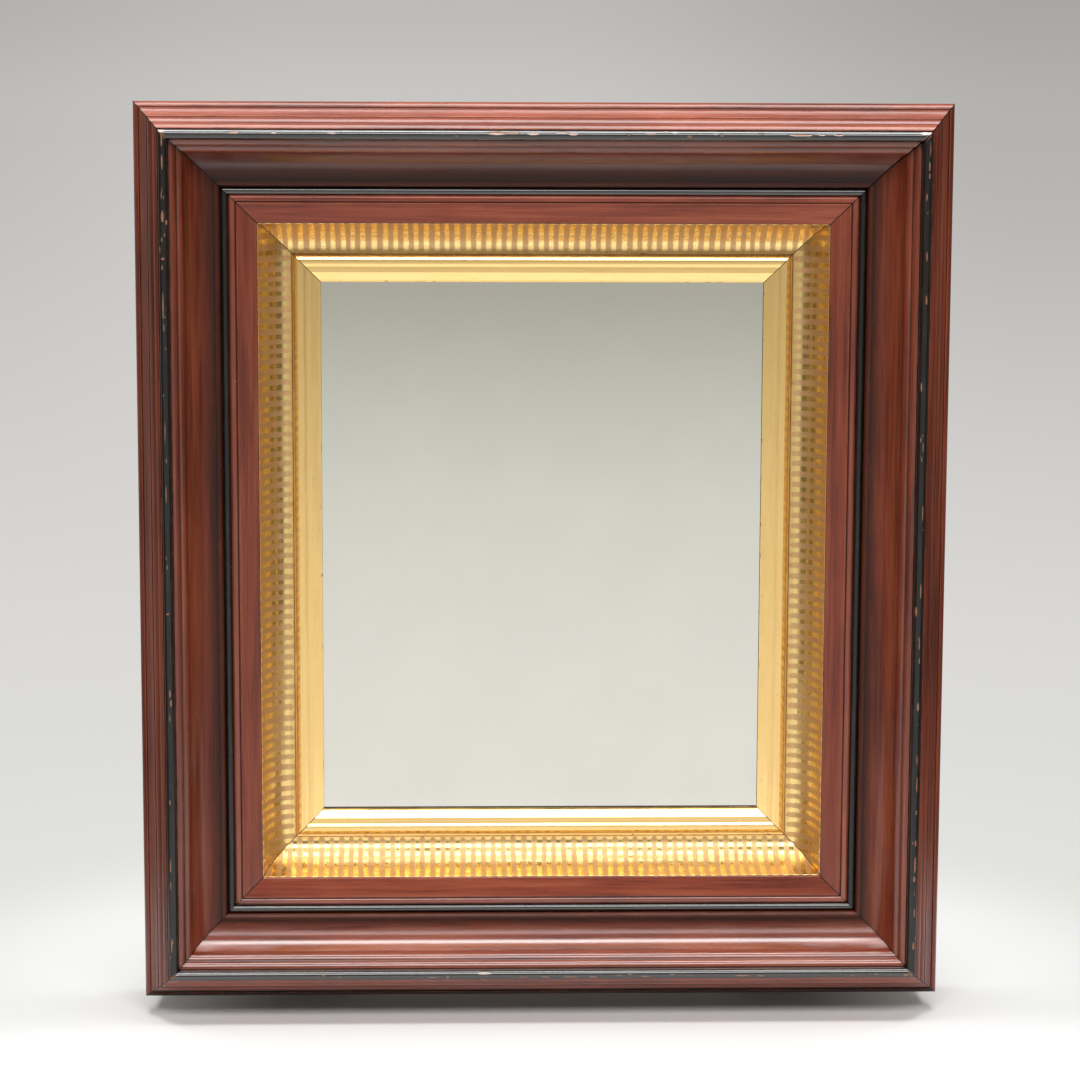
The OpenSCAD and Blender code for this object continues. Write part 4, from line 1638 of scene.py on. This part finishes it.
@dataclass
class Case:
    """The pine box at the back, its back boards, and the nails through both."""

    upright: bpy.types.Material
    level: bpy.types.Material
    backing: bpy.types.Material
    iron: bpy.types.Material
    cell: float = 0.012
    ease: float = 0.0007
    rough: float = 0.00012
    sunk: float = 0.00022
    tilt: float = 0.07
    roundness: tuple[float, float] = (0.93, 1.04)
    spokes: int = 14
    dome: tuple[Point, ...] = ((0.25, 0.00028), (0.62, 0.00022), (0.92, 0.00008))
    rim: tuple[Point, ...] = ((1.0, -0.00012), (0.93, -0.0005), (0.4, -0.0009))

    def board(self, node: str, title: str, finish: bpy.types.Material, seed: int) -> None:
        """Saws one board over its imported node."""
        mesh = plank(title, *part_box(node), self.cell, self.ease, self.rough, seed)
        publish(new_object(title, mesh, finish), "pine", "frame", node)

    def nail_head(
        self, work: bmesh.types.BMesh, centre: Vector, facing: Vector, radius: float, rng: random.Random
    ) -> None:
        """Forges one nail head, slightly domed, uneven and tilted, with a stub of its shank.

        Args:
            work: The mesh that takes it.
            centre: Middle of the head's face.
            facing: Direction the face looks.
            radius: Radius of the head.
            rng: Source of its unevenness.
        """
        tilt = Vector((rng.uniform(-self.tilt, self.tilt) for _ in range(3)))
        out = (facing + tilt).normalized()
        side_a = out.orthogonal().normalized()
        side_b = out.cross(side_a)
        wobble = [rng.uniform(*self.roundness) for _ in range(self.spokes)]
        rings = []
        for share, height in (*self.dome, *self.rim):
            ring = []
            for k in range(self.spokes):
                turn = 2 * math.pi * k / self.spokes
                reach = radius * share * (wobble[k] if share > 0.5 else 1)
                arm = (side_a * math.cos(turn) + side_b * math.sin(turn)) * reach
                ring.append(work.verts.new(centre + arm + out * height))
            rings.append(ring)
        work.faces.new(rings[0])
        for near, far in zip(rings, rings[1:]):
            for k in range(self.spokes):
                ahead = (k + 1) % self.spokes
                work.faces.new((near[k], far[k], far[ahead], near[ahead]))
        work.faces.new(rings[-1][::-1])

    def nails(self, node: str, title: str, facing: Vector | None) -> None:
        """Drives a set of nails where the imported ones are, as one piece.

        Args:
            node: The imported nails.
            title: Name of the new piece.
            facing: Direction the heads look, or None where they look away from the frame's middle.
        """
        work = bmesh.new()
        rng = random.Random(7)
        for lo, hi in islands(node):
            out = facing or Vector((math.copysign(1, lo.x), 0, 0))
            spot = (lo + hi) / 2
            axis = 0 if facing is None else 1
            spot[axis] = (hi if out[axis] > 0 else lo)[axis]
            self.nail_head(work, spot - out * self.sunk, out, (hi.z - lo.z) / 2, rng)
        bmesh.ops.recalc_face_normals(work, faces=work.faces[:])
        mesh = taken(work, title)
        smooth(mesh, 50)
        publish(new_object(title, mesh, self.iron), "iron", "frame", node)

    def build(self) -> None:
        """Makes the boards and drives the nails."""
        for side in Side:
            finish = self.upright if side.upright else self.level
            self.board(f"box_board_{side.label}", f"pine_side_{side.label}", finish, side.seed)
        for seed, place in enumerate(("top", "middle", "bottom"), 11):
            self.board(f"back_board_{place}", f"pine_back_{place}", self.backing, seed)
        self.nails("back_nails", "backing_nails", Vector((0, 1, 0)))
        self.nails("box_nails", "corner_nails", None)


@dataclass
class Hangers:
    """The brass straps, their slotted screws and the two rings that swing in them."""

    brass: bpy.types.Material
    slot_width: float = 0.0008
    slot_depth: float = 0.0009
    head_height: float = 0.0017
    ease: float = 0.00018

    def screw_head(self, work: bmesh.types.BMesh, lo: Vector, hi: Vector, turn: float) -> None:
        """Turns one domed head with its slot, over a packed screw.

        Args:
            work: The mesh that takes it.
            lo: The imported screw's lowest corner.
            hi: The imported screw's highest corner.
            turn: Angle of the slot, in radians.
        """
        out = Vector((-math.copysign(1, lo.x + hi.x), 0, 0))
        radius, height = (hi.z - lo.z) / 2, self.head_height
        top = (hi if out.x > 0 else lo).x
        seat = Vector((top - out.x * height, (lo.y + hi.y) / 2, (lo.z + hi.z) / 2))
        side_a = Vector((0, math.cos(turn), math.sin(turn)))
        side_b = out.cross(side_a)
        half, rows, columns = self.slot_width / 2, 6, 9
        for hand in (-1, 1):
            grid = []
            for i in range(rows + 1):
                across = half + (radius - half) * math.sin(math.pi / 2 * i / rows)
                reach = math.sqrt(max(radius**2 - across**2, 0))
                line = []
                for j in range(columns + 1):
                    along = reach * math.sin(math.pi / 2 * (2 * j / columns - 1))
                    far = math.hypot(across, along) / radius
                    lift = height * math.sqrt(max(1 - 0.86 * far**2, 0))
                    line.append((side_b * hand * across, side_a * along, out * lift))
                grid.append(line)
            tops = [[work.verts.new(seat + a + b + c) for a, b, c in line] for line in grid]
            deep = height - self.slot_depth
            inner = [work.verts.new(seat + a + b + out * min(deep, c.length)) for a, b, c in grid[0]]
            for i in range(rows):
                for j in range(columns):
                    work.faces.new((tops[i][j], tops[i][j + 1], tops[i + 1][j + 1], tops[i + 1][j]))
            for j in range(columns):
                work.faces.new((tops[0][j], inner[j], inner[j + 1], tops[0][j + 1]))
            rim = [line[0] for line in tops] + [line[-1] for line in tops[::-1]]
            base = [work.verts.new(v.co - out * (v.co - seat).dot(out)) for v in rim]
            for k in range(len(rim) - 1):
                work.faces.new((rim[k], rim[k + 1], base[k + 1], base[k]))
        turns = ((-1, -1), (1, -1), (1, 1), (-1, 1))
        corners = [side_b * half * s + side_a * (radius * 0.98) * t for s, t in turns]
        work.faces.new([work.verts.new(seat + c + out * (height - self.slot_depth)) for c in corners])

    def screws(self) -> None:
        """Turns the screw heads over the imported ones, as one piece."""
        work = bmesh.new()
        rng = random.Random(5)
        for lo, hi in islands("hanger_screws"):
            self.screw_head(work, lo, hi, rng.uniform(0, math.pi))
        bmesh.ops.remove_doubles(work, verts=work.verts[:], dist=SAME_SPOT)
        bmesh.ops.recalc_face_normals(work, faces=work.faces[:])
        mesh = taken(work, "slotted_screws")
        smooth(mesh, 35)
        publish(new_object("slotted_screws", mesh, self.brass), "brass", "frame", "hanger_screws")

    def build(self) -> None:
        """Dresses the straps and rings, and makes the screws."""
        self.screws()
        for side in (Side.LEFT, Side.RIGHT):
            for node in (f"hanger_strap_{side.label}", f"hanger_ring_{side.label}"):
                dress(node, self.brass, self.ease)


def dress(node: str, finish: bpy.types.Material, ease: float) -> None:
    """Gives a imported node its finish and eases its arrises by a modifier.

    Args:
        node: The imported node.
        finish: Its material.
        ease: Width of the eased arris, in metres.
    """
    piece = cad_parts[node]
    piece.data.materials.clear()
    piece.data.materials.append(finish)
    weld = piece.modifiers.new("weld", "WELD")
    weld.merge_threshold = 0.000002
    bevel = piece.modifiers.new("ease", "BEVEL")
    bevel.width = ease
    bevel.segments = 2
    bevel.limit_method = "ANGLE"
    bevel.angle_limit = math.radians(50)
    bevel.harden_normals = False
    log.info("%s: dressed", node)


@dataclass
class Blocks:
    """The glue blocks and splines behind the mouldings."""

    finishes: dict[str, bpy.types.Material]
    ease: float = 0.0004

    def build(self) -> None:
        """Dresses each packed block."""
        for node, finish in self.finishes.items():
            dress(node, finish, self.ease)


@dataclass
class Studio:
    """The pale sweep and its haze, the soft overhead light and the camera."""

    lines: Lines
    distance: float = 1.594
    tilt: float = 7.86
    yaw: float = 1.77
    roll: float = -0.20
    shift: tuple[float, float] = (0.0028, -0.0126)
    lens: float = 100.0
    pad: float = 0.010
    pad_apart: float = 0.13
    pad_half: float = 0.02
    pad_reach: tuple[float, float] = (-0.0085, -0.0015)
    black: Triple = (0.0, 0.0, 0.0)
    white: Triple = (0.98, 0.98, 0.975)
    bounce: Triple = (0.28, 0.28, 0.275)
    far_tone: Triple = (0.59, 0.575, 0.55)
    right_tone: Triple = (0.15, 0.135, 0.12)
    left_tone: Triple = (0.45, 0.43, 0.40)
    low_tone: Triple = (0.42, 0.40, 0.37)
    high_tone: Triple = (0.20, 0.19, 0.17)
    fill_light: Triple = (0.07, 0.068, 0.065)
    front: float = 6.7
    hot: float = 10.0

    @property
    def ground_level(self) -> float:
        """Height of the floor: the frame stands on two thin pads."""
        return self.lines.floor * MM - self.pad

    def camera(self) -> None:
        """Sets the camera at the photograph's distance, height and turn."""
        turn = Matrix.Identity(3)
        for angle, axis in ((self.roll, "Z"), (self.tilt, "X"), (self.yaw, "Y")):
            turn = turn @ Matrix.Rotation(math.radians(angle), 3, axis)
        to_frame = Matrix(((1, 0, 0), (0, 0, -1), (0, 1, 0)))
        eye = -(turn.transposed() @ Vector((*self.shift, -self.distance)))
        data = bpy.data.cameras.new("camera")
        data.lens = self.lens
        data.sensor_width = 36.0
        data.clip_start, data.clip_end = 0.05, 200.0
        seat = bpy.data.objects.new("camera", data)
        front = Vector((0, -self.lines.depth * MM, self.lines.mid_z * MM))
        facing = (to_frame @ turn.transposed()).to_4x4()
        seat.matrix_world = Matrix.Translation(to_frame @ eye + front) @ facing
        bpy.context.scene.collection.objects.link(seat)
        bpy.context.scene.camera = seat

    def surround(self, n: Nodes, x: Value, y: Value, ahead: Value) -> Value:
        """The tone that the room shows in each direction: pale ahead, dim at both sides, paler on the left.

        Args:
            n: The tree that takes the nodes.
            x: Distance or direction to the right.
            y: Distance or direction to the back.
            ahead: The tone straight in front of the frame.

        Returns:
            The tone.
        """
        turn = n.math("ARCTAN2", x, y * -1.0)
        side = n.mix(turn.fade(-1.7, -1.9), self.right_tone, self.left_tone)
        return n.mix(abs(turn).fade(0.86, 0.98), ahead, side)

    def dusk(self, across: Value) -> Value:
        """The share of light that the backdrop loses toward its ends, across being about 0.18 there."""
        return across.fade(-0.19, -0.04, 0.14, 0.0) + across.fade(0.02, 0.19, 0.0, 0.22)

    def ground_finish(self) -> bpy.types.Material:
        """The floor: lit white near the frame, and further out a painted glow fading to the backdrop's grey
        with distance, seen by the camera and in reflections.

        Returns:
            The material. Near the frame it is plain white and keeps the frame's shadow, lifted a little by
            the painted glow.
        """
        made, n = new_material("glowing_pale_floor")
        x, y, _ = n.split(n.out(n.add("TexCoord"), "Object"))
        reach = n.reach(x, y)
        far = reach / (reach + 3.0)
        behind = n.ramp(
            far,
            (0.05, (0.80, 0.80, 0.775)),
            (0.20, (0.725, 0.72, 0.695)),
            (0.40, (0.69, 0.675, 0.655)),
            (0.67, (0.645, 0.63, 0.605)),
            (1.0, self.far_tone),
        )
        ahead = n.ramp(
            far,
            (0.12, (0.95, 0.93, 0.91)),
            (0.26, (0.90, 0.89, 0.87)),
            (0.43, (0.79, 0.79, 0.76)),
            (0.53, (0.68, 0.68, 0.655)),
            (0.70, (0.50, 0.49, 0.45)),
            (1.0, (0.45, 0.43, 0.39)),
        )
        path = n.add("LightPath")
        kinds = ("Camera", "Glossy", "Transmission")
        direct, glossy, through = [n.out(path, f"Is {kind} Ray") for kind in kinds]
        tone = n.mix(direct, self.surround(n, x, y, ahead), behind)
        dusk = self.dusk(x / abs(y + 1.7)) * far.fade(0.2, 0.95)
        tone = n.mix(dusk * direct, tone, self.black)
        seen = n.math("MAXIMUM", n.math("MAXIMUM", direct, glossy), through)
        lit = n.add("BsdfPrincipled")
        n.fill(lit, Base_Color=n.mix(seen, self.bounce, self.white), Roughness=0.85, Specular_IOR_Level=0.2)
        beside = n.math("MAXIMUM", abs(x) - glossy * 0.18, 0.0)
        near = n.reach(beside, y) - y.fade(-0.12, -0.05, 0.09, 0.0)
        # Painted light: the glow, a little of it even in the frame's shadow, shows to the camera and in
        # reflections
        share = seen * near.fade(0.14, 0.44, 0.03, 1.0)
        n.surface(n.make("MixShader", share, n.out(lit), n.make("Emission", tone)))
        return made

    def ground(self) -> None:
        """Lays the floor, and the two pads that the frame stands on."""
        work = bmesh.new()
        bmesh.ops.create_circle(work, cap_ends=True, segments=96, radius=80)
        floor = new_object("floor", taken(work, "floor"), self.ground_finish())
        floor.location = (0, 0, self.ground_level)
        felt, n = new_material("dark_felt")
        fuzz = n.noise(n.grain(Grain.ACROSS), 900, 3)
        n.principled(Base_Color=n.mix(fuzz, (0.03, 0.028, 0.026), (0.06, 0.055, 0.05)), Roughness=0.9)
        sole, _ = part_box("box_board_bottom")
        front, back = self.pad_reach
        for hand in (-1, 1):
            lo = Vector((hand * self.pad_apart - self.pad_half, front, self.ground_level))
            hi = Vector((hand * self.pad_apart + self.pad_half, back, sole.z))
            new_object(f"pad_{hand + 1}", plank("pad", lo, hi, 0.01, 0.0006, 0.0002, 3), felt)

    def sky(self) -> None:
        """The room above the floor: dim, with a pale backdrop behind the frame."""
        world = bpy.data.worlds.new("room")
        bpy.context.scene.world = world
        world.use_nodes = True
        n = Nodes(world.node_tree)
        x, y, z = n.split(n.out(n.add("TexCoord"), "Generated"))
        ahead = n.mix(z.fade(0.02, 0.25), self.low_tone, self.high_tone)
        path = n.add("LightPath")
        level = n.mix(n.out(path, "Is Diffuse Ray"), self.surround(n, x, y, ahead), self.fill_light)
        higher = n.mix(z.fade(0.0, 0.045, 0.0, 0.14), self.far_tone, self.black)
        backdrop = n.mix(self.dusk(x), higher, self.black)
        seen = n.mix(n.out(path, "Is Camera Ray"), level, backdrop)
        n.surface(n.make("Background", seen), "OutputWorld")

    def softbox(self, name: str, place: Vector, aim: Vector, size: tuple[float, float], glow: float) -> None:
        """Hangs one soft area lamp.

        Args:
            name: Its name.
            place: Where its middle is.
            aim: What it points at.
            size: Its width and height.
            glow: Brightness of its face.
        """
        data = bpy.data.lights.new(name, "AREA")
        data.shape = "RECTANGLE"
        data.size, data.size_y = size
        data.energy = glow * math.pi * size[0] * size[1]
        lamp = bpy.data.objects.new(name, data)
        lamp.location = place
        lamp.rotation_mode = "QUATERNION"
        lamp.rotation_quaternion = (aim - place).to_track_quat("-Z", "Y")
        bpy.context.scene.collection.objects.link(lamp)

    def build(self) -> None:
        """Sets up the floor, the room, the lamps and the camera."""
        self.ground()
        self.sky()
        heart = Vector((0.0, -0.07, self.ground_level + 0.25))
        under = Vector((0.0, -0.05, self.ground_level))
        self.softbox("front", heart + Vector((0.0, -2.37, 2.19)), heart, (3.2, 1.0), self.front)
        self.softbox("overhead", under + Vector((0.0, 0.0, 2.2)), under, (1.6, 0.94), self.hot)
        self.camera()


def main() -> None:
    """Builds the mirror and its studio in order."""
    logging.basicConfig(level=logging.INFO, format="%(name)s %(message)s")
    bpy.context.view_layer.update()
    lines = Lines.measure()
    walnut, black = Walnut().build(), Ebonised().build()
    crease = lines.band("gilt_cove").u1
    striped = Gilding("striped_gilding", pitch=5.63, crease=crease, burnish=0.25).build()
    bright, worn = (1.0, 0.69, 0.28), (0.94, 0.60, 0.22)
    plain = Gilding("burnished_gilding", bright, worn, burnish=0.17).build()
    brass = Metal("aged_brass", (0.62, 0.42, 0.16), (0.26, 0.155, 0.065), (0.09, 0.06, 0.035)).build()
    rust = (0.16, 0.135, 0.115), (0.10, 0.055, 0.035), (0.17, 0.07, 0.03)
    iron = Metal("rusted_iron", *rust, metallic=0.55, smoothness=(0.5, 0.8)).build()
    # Painted light by rail: the walnut of each rail made lighter or darker as it looks lit
    outer_lighting = {Side.TOP: 0.82, Side.BOTTOM: 1.05, Side.LEFT: 0.80, Side.RIGHT: 0.94}
    inner_lighting = {Side.TOP: 1.25, Side.BOTTOM: 1.15, Side.LEFT: 0.86, Side.RIGHT: 0.92}
    dull_sides = {Side.LEFT: 0.34, Side.RIGHT: 0.32}
    OuterMoulding(lines, walnut, rail_lighting=outer_lighting).build()
    knocked = {"chips": KNOCKS, "scuffing": 0.5, "worn_tips": 0.85, "gloss": {**dull_sides, Side.TOP: 0.85}}
    Bead(lines, black, "outer_bead", "large_bead", facets=34, quirk=0.45, **knocked).build()
    InnerMoulding(lines, walnut, rail_lighting=inner_lighting, gloss={Side.TOP: 0.3, Side.BOTTOM: 1.0}).build()
    Bead(lines, black, "inner_bead", "thin_bead", waver=0.02, gloss=dull_sides).build()
    GiltCove(lines, striped).build()
    GiltSlip(lines, plain, corner_dirt=0.5).build()
    MirrorPlate(OldGlass().build(), Silver().build(), BackingPaint().build()).build()
    upright = Pine("pine_upright", Grain.UP).build()
    level = Pine("pine_level", Grain.ACROSS).build()
    backing = Pine("pine_backing", Grain.ACROSS, early=(0.46, 0.30, 0.165), rings=210.0, saw=0.15).build()
    deep = Pine("pine_deep", Grain.DEEP).build()
    Case(upright, level, backing, iron).build()
    across = dict.fromkeys(("rail_blocks", "liner_blocks", "glazing_blocks", "corner_splines"), level)
    Blocks({"corner_blocks": deep, **across}).build()
    Hangers(brass).build()
    Studio(lines).build()
    bpy.context.scene.view_settings.view_transform = "Standard"


if __name__ == "__main__":
    main()
